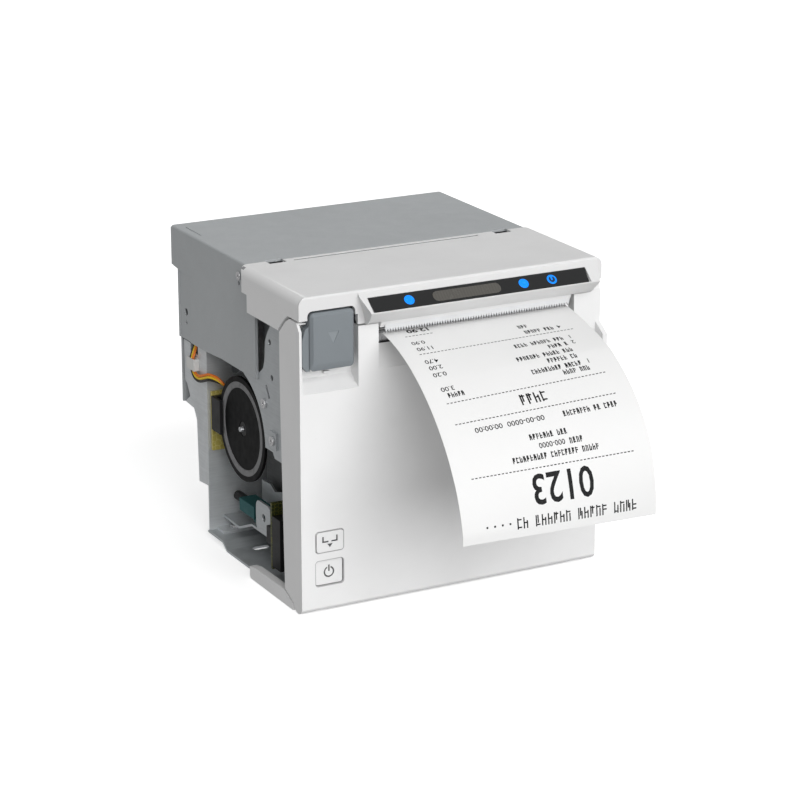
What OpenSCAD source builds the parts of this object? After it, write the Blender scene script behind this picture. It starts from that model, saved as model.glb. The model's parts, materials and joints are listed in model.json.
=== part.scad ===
// Compact receipt printer for counters and kiosks: an 80 mm paper roll in an open steel frame,
// a front cover that hinges down, and a fixed top that carries the print head, cutter and lights.
// All sub-parts are drawn with Y = 0 at the front face and moved once, by from_front().

/* [Body] */
// Width over the white top and the front cover
body_w = 129; // [128.5:0.5:130]
// Height from the resting face to the top
body_h = 124; // [124:0.5:125]
// Depth from the front face to the back of the rear cover
body_d = 122.5; // [122:0.5:124]
// Thickness of the sheet steel
sheet = 1; // [0.8:0.1:1]
// Thickness of the moulded walls
wall = 2.2; // [2:0.1:2.3]

/* [Paper] */
// Width of the paper
paper_w = 79.5; // [78:0.5:79.5]
// Sideways offset of the paper from the body's middle plane
paper_x = 10; // [9.5:0.5:10.5]
// Outer radius of the paper roll
roll_r = 40; // [38:1:40]
// Radius of the curve in which the receipt falls over the front
receipt_r = 62; // [58:1:64]
// Thickness given to the loose paper
paper_t = 0.3; // [0.2:0.1:0.4]

/* [Front cover] */
// Angle through which the front cover opens
cover_open = 78; // [60:1:80]
// Travel of the opening lever
lever_travel = 5; // [4:0.5:5]
// Travel of the two push buttons
button_travel = 0.8; // [0.6:0.1:1]

/* [Mounting] */
// Spacing of the base slots from side to side
slot_span_x = 95; // [90:1:96]
// Spacing of the base slots from front to back
slot_span_y = 50; // [48:1:50]
// Width of a base slot
slot_w = 3.4; // [3.2:0.1:4.4]
// Length of a base slot, end to end
slot_l = 7; // [6:0.5:8]

/* [Gears] */
// Module of the feed gears
feed_mod = 0.7; // [0.7]
// Teeth on the platen gear
platen_teeth = 18; // [18]
// Teeth on the idler gear
idler_teeth = 24; // [24]
// Teeth on the feed motor's pinion
motor_teeth = 12; // [12]

/* [Hidden] */
$fn = 48;

// Colours
c_white = [0.87, 0.87, 0.87];
c_grey_paint = [0.52, 0.54, 0.55];
c_steel = [0.6, 0.62, 0.63];
c_lever = [0.51, 0.53, 0.55];
c_black = [0.06, 0.06, 0.06];
c_dark = [0.16, 0.16, 0.17];
c_blue = [0, 0.52, 1];
c_pill = [0.34, 0.33, 0.31];
c_paper = [0.96, 0.96, 0.95];
c_board = [0.33, 0.36, 0.12];
c_sensor_board = [0.72, 0.66, 0.32];
c_teal = [0.05, 0.36, 0.37];
c_card = [0.6, 0.5, 0.38];

// Overall planes
half_w = body_w / 2;
origin_y = 47;                       // centre of the base slot pattern behind the front face
cover_half_w = 61.25;                // outer half-width of the rear cover
frame_x = 60;                        // outer faces of the two side frames
bezel_y = 52.6;                      // joint between the top bezel and the rear cover
bezel_z = 107.5;                     // lower edge of the bezel's side skirts
front_seam_z = 115;                  // joint between bezel and front cover beside the lever
fit_gap = 0.3;                       // air between neighbouring pieces

// Front cover and hinge
pivot = [3.5, 4];                    // hinge axis, behind and above the lower front edge
cover_x0 = -64.4;
cover_x1 = 64.2;
shelf_z = 92.7;                      // front edge of the paper shelf
exit_x0 = -31.8;
exit_x1 = 52.4;
pin_r = 1.25;

// Paper path, from the roll over the platen to the exit
platen = [13.5, 100];
platen_r = roll_r / 8;
nip_tilt = 15;
roll_axis = [66, 54];
roll_x0 = paper_x - paper_w / 2;
roll_x1 = paper_x + paper_w / 2;
exit_z = 106;
core_r = 9;
bay_x0 = -32.4;
bay_x1 = 52.4;

// Gear train at the left end of the platen
gear_x = -58.4;
gear_w = 2.8;
idler_centre = [platen[0] + feed_mod * (platen_teeth + idler_teeth) / 2, platen[1]];
motor_drop = 50;                     // angle below level from the idler to the motor shaft
motor_reach = feed_mod * (idler_teeth + motor_teeth) / 2;
motor_centre = [idler_centre[0] + motor_reach * cos(motor_drop),
                idler_centre[1] - motor_reach * sin(motor_drop)];
shaft_r = 1.5;
run_gap = 0.05;                      // radial clearance of a turning fit

// Cutter drive at the right end
blade_y = 5.4;
blade_t = 0.8;
blade_z = 107.7;
blade_stroke = 4.5;
rack_mod = 1;
rack_teeth = 10;
rack_x = 54.2;
cut_mod = 0.6;
cut_wheel_teeth = 28;
cut_pinion_teeth = 12;
rack_pitch_y = 8.4;
wheel_centre = [rack_pitch_y + rack_mod * rack_teeth / 2, 112];
cut_reach = cut_mod * (cut_wheel_teeth + cut_pinion_teeth) / 2;
pinion_centre = [wheel_centre[0] + cut_reach, wheel_centre[1] + 0.6];

// Buttons on the front cover
button_x = -52.7;
button_w = 11.6;
feed_z = [24.3, 32.6];
power_z = [11, 21];

// ---- helpers ----

// Moves everything from the front-face datum to the origin of the part
module from_front() { translate([0, -origin_y, 0]) children(); }

// Extrudes a (y, z) outline along X
module yz(x, w) { translate([x, 0, 0]) rotate([90, 0, 90]) linear_extrude(w) children(); }

// Extrudes an (x, z) outline along Y
module xz(y, d) { translate([0, y + d, 0]) rotate([90, 0, 0]) linear_extrude(d) children(); }

// Extrudes an (x, y) outline along Z
module xy(z, h) { translate([0, 0, z]) linear_extrude(h) children(); }

// Box from one corner to the opposite one
module box(a, b) { translate(a) cube(b - a); }

// Rectangle with round corners, as an outline
module round_rect(a, b, r) {
    translate([a[0] + r, a[1]]) square([b[0] - a[0] - 2 * r, b[1] - a[1]]);
    translate([a[0], a[1] + r]) square([b[0] - a[0], b[1] - a[1] - 2 * r]);
    for (x = [a[0] + r, b[0] - r], y = [a[1] + r, b[1] - r]) translate([x, y]) circle(r);
}

// Rod along X, Y or Z
module rod_x(x, w, y, z, r) { translate([x, y, z]) rotate([0, 90, 0]) cylinder(h = w, r = r); }
module rod_y(x, y, d, z, r) { translate([x, y + d, z]) rotate([90, 0, 0]) cylinder(h = d, r = r); }
module rod_z(x, y, z, h, r) { translate([x, y, z]) cylinder(h = h, r = r); }

// Involute gear outline: angle of a flank at radius r, measured from the tooth's middle
function roll_off(a) = tan(a) * 180 / PI - a;
function flank(r, rb, teeth, slack) =
    90 / teeth + roll_off(20) - roll_off(acos(min(1, rb / r))) - slack;
function gear_points(teeth, mod) =
    let (rp = mod * teeth / 2, rb = rp * cos(20), ra = rp + 0.92 * mod, rf = rp - 1.2 * mod,
         slack = 0.055 * mod / rp * 180 / PI, r0 = max(rb, rf), steps = 4,
         radii = [for (i = [0 : steps]) r0 + (ra - r0) * i / steps])
    [for (k = [0 : teeth - 1]) let (mid = k * 360 / teeth) each concat(
        [rf * [cos(mid - flank(r0, rb, teeth, slack)), sin(mid - flank(r0, rb, teeth, slack))]],
        [for (r = radii) r * [cos(mid - flank(r, rb, teeth, slack)),
                              sin(mid - flank(r, rb, teeth, slack))]],
        [for (i = [steps : -1 : 0]) let (r = radii[i]) r * [
            cos(mid + flank(r, rb, teeth, slack)), sin(mid + flank(r, rb, teeth, slack))]],
        [rf * [cos(mid + flank(r0, rb, teeth, slack)), sin(mid + flank(r0, rb, teeth, slack))]]
    )];
// Turn of a gear that meshes with one turned by phase, where dir points from that one to it
function mesh_turn(dir, phase, teeth_a, teeth_b) =
    dir + 180 - 180 / teeth_b + (dir - phase) * teeth_a / teeth_b;
module gear(x, w, centre, teeth, mod, turn, bore) {
    translate([x, centre[0], centre[1]]) rotate([90, 0, 90]) difference() {
        linear_extrude(w) rotate(turn) polygon(gear_points(teeth, mod));
        translate([0, 0, -1]) cylinder(h = w + 2, r = bore);
    }
}

// Closed coil spring on the local Z axis
function coil_ring(c, dir, wire, sides) =
    let (side = [cos(dir), sin(dir), 0])
    [for (s = [0 : sides - 1]) c + wire * (cos(s * 360 / sides) * side
                                          + [0, 0, sin(s * 360 / sides)])];
module coil_spring(r, wire, turns, h) {
    sides = 8;
    steps = turns * 12;
    rings = [for (i = [0 : steps]) let (a = i * 30)
        coil_ring([r * cos(a), r * sin(a), wire + (h - 2 * wire) * i / steps], a, wire, sides)];
    points = [for (ring = rings) each ring];
    skin = [for (i = [0 : steps - 1], s = [0 : sides - 1]) let (t = (s + 1) % sides)
        [i * sides + s, i * sides + t, (i + 1) * sides + t, (i + 1) * sides + s]];
    ends = [[for (s = [sides - 1 : -1 : 0]) s], [for (s = [0 : sides - 1]) steps * sides + s]];
    polyhedron(points, concat(skin, ends), convexity = 8);
}

// Round tube swept along a list of points
function unit(v) = v / norm(v);
function tangent(path, i) =
    unit(path[min(i + 1, len(path) - 1)] - path[max(i - 1, 0)]);
function smooth(path) = [for (i = [0 : len(path) - 2], t = [0 : 0.25 : 0.75])
    let (a = path[max(i - 1, 0)], b = path[i], c = path[i + 1], d = path[min(i + 2, len(path) - 1)])
    0.5 * (2 * b + t * (c - a) + t * t * (2 * a - 5 * b + 4 * c - d)
           + t * t * t * (3 * b - a - 3 * c + d))];
module tube(route, r) {
    sides = 8;
    path = concat(smooth(route), [route[len(route) - 1]]);
    n = len(path);
    rings = [for (i = [0 : n - 1])
        let (t = tangent(path, i), u = unit(cross(t, [1, 0, 0])), v = cross(t, u))
        for (s = [0 : sides - 1]) path[i] + r * (cos(s * 360 / sides) * u
                                                 + sin(s * 360 / sides) * v)];
    skin = [for (i = [0 : n - 2], s = [0 : sides - 1]) let (t = (s + 1) % sides)
        [i * sides + s, (i + 1) * sides + s, (i + 1) * sides + t, i * sides + t]];
    ends = [[for (s = [0 : sides - 1]) s], [for (s = [sides - 1 : -1 : 0]) (n - 1) * sides + s]];
    polyhedron(rings, concat(skin, ends), convexity = 8);
}

// ---- base and frame ----

step_y = [76, 80];                   // bend between the base's flat part and its raised rear
step_z = 2.6;
back_y = 93;                         // face of the wall that closes the left compartment
foot_screw = [-50, 89.4];            // screw through the foot of that wall

module base_slots() {
    for (sx = [-1, 1], sy = [-1, 1]) translate([sx * slot_span_x / 2, origin_y + sy * slot_span_y / 2, -1]) {
        for (e = [-1, 1]) translate([e * (slot_l - slot_w) / 2, 0, 0]) cylinder(h = 6, r = slot_w / 2);
        translate([-(slot_l - slot_w) / 2, -slot_w / 2, 0]) cube([slot_l - slot_w, slot_w, 6]);
    }
}

module base_plate() {
    color(c_steel) from_front() difference() {
        yz(-frame_x - 0.5, 2 * frame_x + 1) polygon([
            [11, 0], [step_y[0], 0], [step_y[1], step_z], [116.5, step_z],
            [116.5, step_z + sheet], [step_y[1] - 0.4, step_z + sheet], [step_y[0] - 0.4, sheet],
            [11, sheet]]);
        base_slots();
        box([-70, back_y + 1, -1], [-34, 130, 10]);
        for (x = [foot_screw[0], 50]) rod_z(x, foot_screw[1], 0, 6, 1.5);
        rod_z(-40, 40, -1, 4, 4);
        rod_z(20, 30, -1, 4, 6);
        rod_z(-10, 50, -1, 4, 6);
    }
}

module left_frame() {
    color(c_steel) from_front() difference() {
        yz(-frame_x, sheet) difference() {
            polygon([[18.2, 52.6], [31.5, 52.6], [33, 54.7], [39.8, 54.7], [47, 54.7], [58, 79],
                     [58, 106.8], [18.2, 106.8]]);
            translate([roll_axis[0], roll_axis[1]]) circle(26.4);
            // long opening that leaves the gears in view
            polygon([[31.4, 106.9], [34, 104.2], [36.6, 101], [38.4, 97.6], [38.9, 94], [39.2, 90],
                     [40.6, 86.2], [44, 83.4], [50, 83.4], [50, 106.9]]);
            translate([34.6, 97.8]) circle(1.2);
            translate([33, 84.2]) circle(1.2);
            translate([39.6, 72.4]) circle(1.3);
            translate([37.2, 78.2]) rotate(-32) translate([-0.7, -3.4]) square([1.4, 5.4]);
        }
    }
    color(c_steel) from_front() {
        // lanced tab with its screw hole, and the flange that ties the plate to the gear bracket
        difference() {
            box([-frame_x - 0.9, 28.4, 56.6], [-frame_x, 34, 63.4]);
            rod_x(-frame_x - 2, 4, 31, 60, 0.9);
        }
        box([-frame_x + sheet, 22, 52.6], [-51, 34, 52.6 + sheet]);
    }
}

module left_back_panel() {
    color(c_steel) from_front() {
        difference() {
            union() {
                // wall across the back of the left compartment, with its bent corner
                xz(back_y, sheet) polygon([[-59, step_z + sheet], [-34, step_z + sheet],
                    [-34, 104], [-52, 104], [-59, 84]]);
                // side flange, cut back in steps towards the base
                yz(-frame_x, sheet) polygon([
                    [back_y, step_z + sheet], [back_y + 0.9, step_z + sheet], [back_y + 0.9, 22.4],
                    [102.6, 21.7], [103.7, 47.4], [106.4, 51.6], [114.8, 52.2], [109.8, 55.6],
                    [112.8, 60.4], [114.8, 61.4], [114.8, 78.4], [108.4, 78.4], [108.4, 75], [101.2, 75],
                    [101.2, 84], [back_y, 84]]);
                yz(-59, 0.9) translate([back_y, 64]) square([1, 20]);
            }
            rod_y(-47, 80, 30, 70, 2.2);
        }
        // foot screwed to the raised part of the base
        difference() {
            box([-57, back_y - 7, step_z + sheet], [-36, back_y, step_z + 2 * sheet]);
            rod_z(foot_screw[0], foot_screw[1], 0, 9, 1.5);
        }
    }
}

module right_frame() {
    color(c_steel) from_front() {
        difference() {
            yz(frame_x - sheet, sheet) difference() {
                polygon([[18.2, sheet], [step_y[0] - 0.4, sheet], [step_y[1] - 0.4, step_z + sheet],
                         [115, step_z + sheet], [115, 104], [58, 104], [58, 106.8], [18.2, 106.8]]);
                translate([34, 22]) round_rect([0, 0], [40, 22], 3);
                translate([32, 98]) circle(1.1);
                translate([44, 72]) circle(2.4);
                translate([96, 30]) circle(3.4);
            }
            rod_x(40, 30, roll_axis[0], roll_axis[1], 6);
        }
        box([54, 50, sheet], [frame_x - sheet, 62, 2 * sheet]);
    }
}

// Moulded bay that the paper roll lies in: two side walls joined by a curved floor
module roll_bay() {
    floor_r = roll_r + 1.6;
    color(c_dark) from_front() difference() {
        union() {
            for (x = [bay_x0 - 1.4, bay_x1]) yz(x, 1.4) difference() {
                polygon([[30, 8], [100, 8], [108.5, 20], [109.5, 60], [106, 92], [60, 97.6],
                         [31, 97.6], [24, 90], [21.5, 60], [21.5, 16]]);
                translate(roll_axis) circle(7.4);
            }
            yz(bay_x0 - 0.2, bay_x1 - bay_x0 + 0.4) difference() {
                translate(roll_axis) circle(floor_r + 1.5, $fn = 96);
                translate(roll_axis) circle(floor_r, $fn = 96);
                translate([0, roll_axis[1] - 16]) square([130, 100]);
                square([32, 60]);
            }
            // feet down to the base
            for (x = [bay_x0, 10, bay_x1 - 2]) box([x, 45, sheet], [x + 2, 70, 14]);
        }
        rod_x(-40, 100, roll_axis[0], roll_axis[1], floor_r - 0.01);
        // slot in the floor for the low-paper feeler
        box([-28, 84, 5], [-22, 98, 34]);
    }
}

module rear_panel() {
    color(c_steel) from_front() difference() {
        union() {
            box([-32, 111, step_z + sheet], [58.8, 111 + sheet, 50]);
            box([-32, 111 + sheet, 49], [58.8, 116.5, 50]);
        }
        for (s = [[-25, 10, 15, 14], [-4, 10, 12, 13], [14, 10, 16.4, 15], [37, 10, 14.6, 13.4]])
            box([s[0], 105, s[1]], [s[0] + s[2], 120, s[1] + s[3]]);
        for (x = [-28.6, 55.6]) rod_y(x, 105, 12, 42, 1.6);
    }
}

// ---- outer shells ----

module rear_cover() {
    y1 = body_d;
    y2 = y1 - 6;
    color(c_grey_paint) from_front() difference() {
        union() {
            // roof
            box([-cover_half_w + 0.8, bezel_y + 0.3, body_h - sheet], [cover_half_w - 0.8, y1 - 0.8, body_h]);
            // side walls, with the rear edge stepped in below the corner
            for (x = [-cover_half_w, cover_half_w - sheet]) yz(x, sheet) polygon([
                [45, 80.5], [45, 114.6], [bezel_y + 0.3, 114.6],
                [bezel_y + 0.3, body_h - 0.8], [y1 - 0.8, body_h - 0.8], [y1 - 0.8, 107.8],
                [y2, 107.2], [y2, 79.4], [92, 79.4], [75.5, 80.5]]);
            // rear wall in two planes with a ledge between them
            box([-cover_half_w + 0.8, y2 - sheet, 52], [cover_half_w - 0.8, y2, 108.4]);
            box([-cover_half_w + 0.8, y2 - sheet, 107.6], [cover_half_w - 0.8, y1 - 0.01, 108.4]);
            box([-cover_half_w, y1 - sheet, 107.8], [cover_half_w, y1 - 0.01, body_h - 0.8]);
            // bend radii along the roof's edges
            for (x = [-1, 1]) translate([x * (cover_half_w - 0.8), 0, body_h - 0.8])
                rotate([-90, 0, 0]) translate([0, 0, bezel_y + 0.3])
                cylinder(h = y1 - 0.8 - bezel_y - 0.3, r = 0.8);
            rod_x(-cover_half_w + 0.8, 2 * (cover_half_w - 0.8), y1 - 0.8, body_h - 0.8, 0.8);
            // front flange of the left wall, folded in
            box([-cover_half_w, 44.6, 80.9], [-cover_half_w + 1.2, 44.6 + sheet, 106.9]);
        }
        // shallow pressed strip and the hook hole beside it
        box([-cover_half_w - 1, 105, 78], [-cover_half_w + 0.3, 115.2, 106.8]);
        rod_x(-cover_half_w - 1, 4, 109.6, 91, 1.5);
        rod_x(-cover_half_w - 1, 4, 109.6, 86.6, 0.8);
        for (x = [-1, 1], h = [[58, 118.2, 1.2], [58.4, 115.2, 0.9]])
            rod_x(x * cover_half_w - 2, 4, h[0], h[1], h[2]);
        box([-58.1, 100.6, body_h - 0.3], [-57.5, 116, body_h + 1]);
        // hooks of the lid's catches reach in here
        for (x = [-52.6, 46]) box([x, bezel_y, body_h - 2], [x + 7.2, bezel_y + 1.6, body_h + 1]);
    }
}

// Outline of the bezel's block seen from the side: flat top, skirt stepped at the rear
module bezel_side() {
    difference() {
        union() {
            translate([0, bezel_z]) square([bezel_y, body_h - 1 - bezel_z]);
            translate([1, bezel_z]) square([bezel_y - 1, body_h - bezel_z]);
            translate([1, body_h - 1]) circle(1);
        }
        translate([44.6, bezel_z - 1]) square([20, front_seam_z - 0.6 - bezel_z + 1]);
        // round nose of the front cover's side wall comes up here
        translate([-1, bezel_z - 1]) square([10.6, front_seam_z - bezel_z + 1]);
        polygon([[9.5, bezel_z - 1], [18.2, bezel_z - 1], [17.6, bezel_z + 0.6], [12.4, 113],
                 [9.5, front_seam_z]]);
    }
}

// Sloping nose above the paper exit, as an outline
nose_top = [0, 122.9];
nose_tip = [-7.2, 116.4];
nose_slope = atan2(nose_top[1] - nose_tip[1], nose_top[0] - nose_tip[0]);
module nose_side() {
    polygon([[2.4, 122.9], nose_top, nose_tip, [-6.9, 115.7], [-3.2, 112], [-1.4, 110.9],
             [-1, 109.6], [-0.4, 109.6], [-0.4, 108.7], [1.3, 108.7], [1.3, 112], [2.4, 112]]);
}

module top_bezel() {
    inner = wall;
    color(c_white) from_front() difference() {
        union() {
            intersection() {
                yz(-half_w, body_w) bezel_side();
                xz(-1, bezel_y + 2) {
                    square([0.01, 0.01]);
                    translate([-half_w, bezel_z - 1]) square([body_w, body_h - 3.5 - bezel_z + 1]);
                    translate([-half_w + 3.5, bezel_z]) square([body_w - 7, body_h - bezel_z]);
                    for (s = [-1, 1]) translate([s * (half_w - 3.5), body_h - 3.5]) circle(3.5);
                }
                // plan view with round rear corners
                xy(bezel_z - 1, 30) {
                    translate([-half_w, -1]) square([body_w, bezel_y - 3.5 + 1]);
                    translate([-half_w + 4.5, -1]) square([body_w - 9, bezel_y + 1]);
                    for (s = [-1, 1]) translate([s * (half_w - 4.5), bezel_y - 4.5]) circle(4.5);
                }
            }
            yz(-40.4, 102.6) nose_side();
        }
        // hollow inside
        box([-half_w + inner, inner, bezel_z - 2], [half_w - inner, bezel_y + 1, body_h - inner]);
        yz(-35.8, 92.8) polygon([[3, 120.6], [0.6, 120.6], [-4.6, 116.2], [-1.9, 113.6], [0.8, 112.6],
                                 [3, 112.6]]);
        // slanting ends of the nose
        xz(-9, 9) polygon([[-41, bezel_z], [-37.6, bezel_z], [-37.6, 113], [-38.6, 117], [-41, 123.1]]);
        xz(-9, 9) polygon([[63, bezel_z], [58.8, bezel_z], [58.8, 113], [59.6, 117], [62.4, 123.1],
                              [63, 123.1]]);
        // front wall ends at the seam, and the lip exists only over the paper exit
        box([-half_w - 1, -10, bezel_z - 2], [-41.4, 3, front_seam_z]);
        box([-41.5, -10, bezel_z - 2], [-31.4, 3, 111]);
        box([50.2, -10, bezel_z - 2], [half_w + 1, 3, 111]);
        box([59, -10, bezel_z - 2], [half_w + 1, 3, 113.4]);
        // notch over the lever
        xz(-2, 8) round_rect([-61, 108], [-41.4, 118.4], 2);
        box([-61, -2, 108], [-41.4, 8, 116]);
        // seat of the status panel
        translate([0, nose_top[0], nose_top[1]]) rotate([nose_slope, 0, 0])
            box([-37.5, -9.4, -0.8], [55.7, -2.6, 2]);
        // rear groove and the two catch windows
        box([-42, bezel_y - 3.4, body_h - 0.9], [38.6, bezel_y - 1.4, body_h + 1]);
        for (x = [-52.6, 46]) box([x, bezel_y - 3.8, body_h - 3], [x + 7.2, bezel_y + 1, body_h + 1]);
    }
}

module status_panel() {
    color(c_black) from_front() translate([0, nose_top[0], nose_top[1]]) rotate([nose_slope, 0, 0])
        difference() {
            xy(-0.8, 0.75) polygon([[-37.3, -2.7], [55.5, -2.7], [54.9, -9.3], [-36.7, -9.3]]);
            for (x = [-21.3, 27.4, 39.7]) rod_z(x, -5.9, -2, 4, 2.05);
            xy(-0.5, 2) round_rect([-11.5, -8.3], [17.5, -3.7], 2.2);
        }
}

module status_window() {
    color(c_pill) from_front() translate([0, nose_top[0], nose_top[1]]) rotate([nose_slope, 0, 0])
        xy(-0.48, 0.44) round_rect([-11.4, -8.2], [17.4, -3.8], 2.1);
}

module status_lights() {
    color(c_blue) from_front() translate([0, nose_top[0], nose_top[1]]) rotate([nose_slope, 0, 0])
        for (x = [-21.3, 27.4, 39.7]) rod_z(x, -5.9, -0.8, 0.8, 2);
}

module base_skirt() {
    color(c_white) from_front() {
        difference() {
            union() {
                for (x = [-half_w + 0.1, half_w - 3.3]) yz(x, 3.2) difference() {
                    union() {
                        polygon([[8, 0], [44.7, 0], [46.2, 1.5], [46.2, 4.9], [41, 5.7],
                                 [15.5, 5.9], [8, 2.6]]);
                        translate([44.7, 1.5]) circle(1.5);
                    }
                    translate(pivot) circle(4.4);
                }
                // crossbar behind the foot of the front cover
                box([-61.4, 8.6, 0], [61.4, 10.9, 3.4]);
                // hinge ears
                for (x = [-58.4, 53.4]) yz(x, 5) difference() {
                    union() {
                        translate(pivot) circle(2);
                        translate([pivot[0], 2]) square([6, 2.6]);
                    }
                    translate([pivot[0] - 3, -1]) square([3, 3.4]);
                }
            }
            for (x = [-60, 52]) rod_x(x, 8, pivot[0], pivot[1], pin_r + run_gap);
        }
    }
}

// ---- cutter and print head ----

module tear_bar() {
    pitch = 1.1;
    teeth = 72;
    x0 = paper_x - pitch * teeth / 2;
    color(c_white) from_front() xz(-1, 0.6) polygon(concat(
        [[x0, 109.6], [x0, 108.2]],
        [for (i = [0 : teeth - 1]) each [[x0 + (i + 0.5) * pitch, 106.5], [x0 + (i + 1) * pitch, 108.2]]],
        [[x0 + teeth * pitch, 109.6]]));
}

module cutter_frame() {
    color(c_steel) from_front() {
        difference() {
            union() {
                box([-34, 6.5, 107.9], [rack_x - 1, 7.3, 119]);
                box([-34, 6.5, 118.2], [rack_x - 1, 14, 119]);
                // guides at both ends of the blade
                box([-34, 4.9, 108.4], [-32.6, 6.5, 119]);
                // bearing plate of the cutter gears
                box([52.2, 7.3, 106.4], [53, 30, 119]);
            }
            rod_x(50, 5, wheel_centre[0], wheel_centre[1], 1.5);
            rod_x(50, 5, pinion_centre[0], pinion_centre[1], 2.2);
            box([51, 6, 100], [54, 8.7, 107.5]);
        }
        rod_x(51.4, 7.4, wheel_centre[0], wheel_centre[1], 1.5);
    }
}

// Blade with its rack: the rack's teeth face the rear
module moving_blade() {
    pitch = PI * rack_mod;
    x0 = roll_x0 - 1.6;
    x1 = roll_x1 + 1.6;
    mid = (x0 + x1) / 2;
    half = pitch / 4 - 0.055;
    color("silver") from_front() {
        xz(blade_y, blade_t) polygon([[x0, blade_z + 9.6], [x0, blade_z], [mid, blade_z + 1.2],
            [x1, blade_z], [x1, blade_z + 4], [rack_x + 1.8, blade_z + 4], [rack_x + 1.8, blade_z + 9.6]]);
        yz(rack_x, 1.8) {
            translate([blade_y, 107.4]) square([rack_pitch_y - 1.2 * rack_mod - blade_y, 11.8]);
            for (k = [-1.5 : 1 : 1.5]) let (z = wheel_centre[1] + k * pitch) polygon([
                [rack_pitch_y - 1.25, z - half - 1.25 * tan(20)],
                [rack_pitch_y + 0.9, z - half + 0.9 * tan(20)],
                [rack_pitch_y + 0.9, z + half - 0.9 * tan(20)],
                [rack_pitch_y - 1.25, z + half + 1.25 * tan(20)]]);
        }
    }
}

// Compound gear: a rack pinion and a wheel turned by the motor
rack_turn = 180;
wheel_dir = atan2(pinion_centre[1] - wheel_centre[1], pinion_centre[0] - wheel_centre[0]);
module cutter_gear() {
    color(c_white) from_front() {
        gear(rack_x - 0.3, 2.4, wheel_centre, rack_teeth, rack_mod, rack_turn, 1.55);
        gear(rack_x + 2.1, 1.6, wheel_centre, cut_wheel_teeth, cut_mod, wheel_dir, 1.55);
    }
}

module cutter_motor() {
    color(c_dark) from_front() difference() {
        union() {
            intersection() {
                rod_x(36, 16, pinion_centre[0], pinion_centre[1], 6);
                box([30, pinion_centre[0] - 8, pinion_centre[1] - 4.8],
                    [60, pinion_centre[0] + 8, pinion_centre[1] + 4.8]);
            }
            rod_x(51, 2, pinion_centre[0], pinion_centre[1], 2.1);
        }
        rod_x(44, 12, pinion_centre[0], pinion_centre[1], 0.8);
    }
}

module cutter_pinion() {
    turn = mesh_turn(wheel_dir, wheel_dir, cut_wheel_teeth, cut_pinion_teeth);
    color(c_white) from_front() {
        gear(rack_x + 1.9, 2, pinion_centre, cut_pinion_teeth, cut_mod, turn, 0.5);
        rod_x(45, 14, pinion_centre[0], pinion_centre[1], 0.75);
    }
}

// Frame of reference of the print head: along the head's face and square to it, at the nip
module at_nip() {
    translate([0, platen[0] + (platen_r + 0.3) * sin(nip_tilt),
                  platen[1] + (platen_r + 0.3) * cos(nip_tilt)])
        rotate([-nip_tilt, 0, 0]) children();
}
head_pivot = [29, 106];

module thermal_head() {
    color([0.75, 0.74, 0.7]) from_front() at_nip() {
        box([roll_x0 - 1.5, -4.6, 0.25], [roll_x1 + 1.5, 7, 1.2]);
        // raised line of heaters
        yz(roll_x0, paper_w) polygon([[-0.9, 0.3], [-0.4, 0.1], [0.4, 0.1], [0.9, 0.3]]);
    }
}

module head_bracket() {
    color([0.7, 0.71, 0.72]) from_front() difference() {
        union() {
            at_nip() box([roll_x0 - 1.5, -4.6, 1.2], [roll_x1 + 1.5, 8, 3.4]);
            for (x = [roll_x0 + 4, roll_x0 + 24]) yz(x, 2) polygon([
                [22, 104.6], [24.5, 103.6], [31, 103.4], [31.6, 106], [31, 108.4], [27, 108.6], [21, 107.2]]);
        }
        rod_x(-40, 100, head_pivot[0], head_pivot[1], 1.3);
    }
    color([0.7, 0.71, 0.72]) from_front()
        rod_x(roll_x0 + 1, 30, head_pivot[0], head_pivot[1], 1.3);
}

module head_springs() {
    color("silver") from_front() for (x = [-22, -6, 10, 24]) translate([x, 15.4, 109.2])
        coil_spring(1.8, 0.3, 4, 8.9);
}

// ---- paper feed ----

module feed_motor() {
    color(c_dark) from_front() difference() {
        union() {
            rod_x(-54, 17, motor_centre[0], motor_centre[1], 12.5);
            rod_x(-55, 2, motor_centre[0], motor_centre[1], 3);
            yz(-54, 0.8) for (s = [-1, 1]) hull() {
                translate([motor_centre[0], motor_centre[1] + s * 14.6]) circle(2.4, $fn = 32);
                translate([motor_centre[0], motor_centre[1] + s * 8]) circle(6, $fn = 32);
            }
        }
        rod_x(-56, 12, motor_centre[0], motor_centre[1], 1.05);
    }
}

idler_turn = mesh_turn(0, 0, platen_teeth, idler_teeth);
module motor_pinion() {
    turn = mesh_turn(-motor_drop, idler_turn, idler_teeth, motor_teeth);
    color(c_dark) from_front() {
        gear(gear_x, gear_w, motor_centre, motor_teeth, feed_mod, turn, 0.8);
        rod_x(gear_x - 0.4, 12, motor_centre[0], motor_centre[1], 1);
    }
}

module idler_gear() {
    color(c_dark) from_front()
        gear(gear_x, gear_w, idler_centre, idler_teeth, feed_mod, idler_turn, shaft_r + run_gap);
}

// Plate between the motor and the gears, with the idler's stub axle
module gear_bracket() {
    color(c_steel) from_front() {
        difference() {
            yz(-55.2, 1) polygon([[20.2, 52.6 + sheet], [34, 52.6 + sheet], [34, 62], [50, 76], [50, 106],
                                  [20.2, 106]]);
            rod_x(-57, 4, motor_centre[0], motor_centre[1], 5);
            for (s = [-1, 1]) rod_x(-57, 4, motor_centre[0], motor_centre[1] + s * 14.6, 1);
        }
        rod_x(-58.9, 4, idler_centre[0], idler_centre[1], shaft_r);
    }
}

module platen_roller() {
    color(c_dark) from_front() difference() {
        rod_x(roll_x0 - 0.4, paper_w + 0.8, platen[0], platen[1], platen_r);
        rod_x(roll_x0 - 2, paper_w + 4, platen[0], platen[1], 2.5);
    }
}

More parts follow.
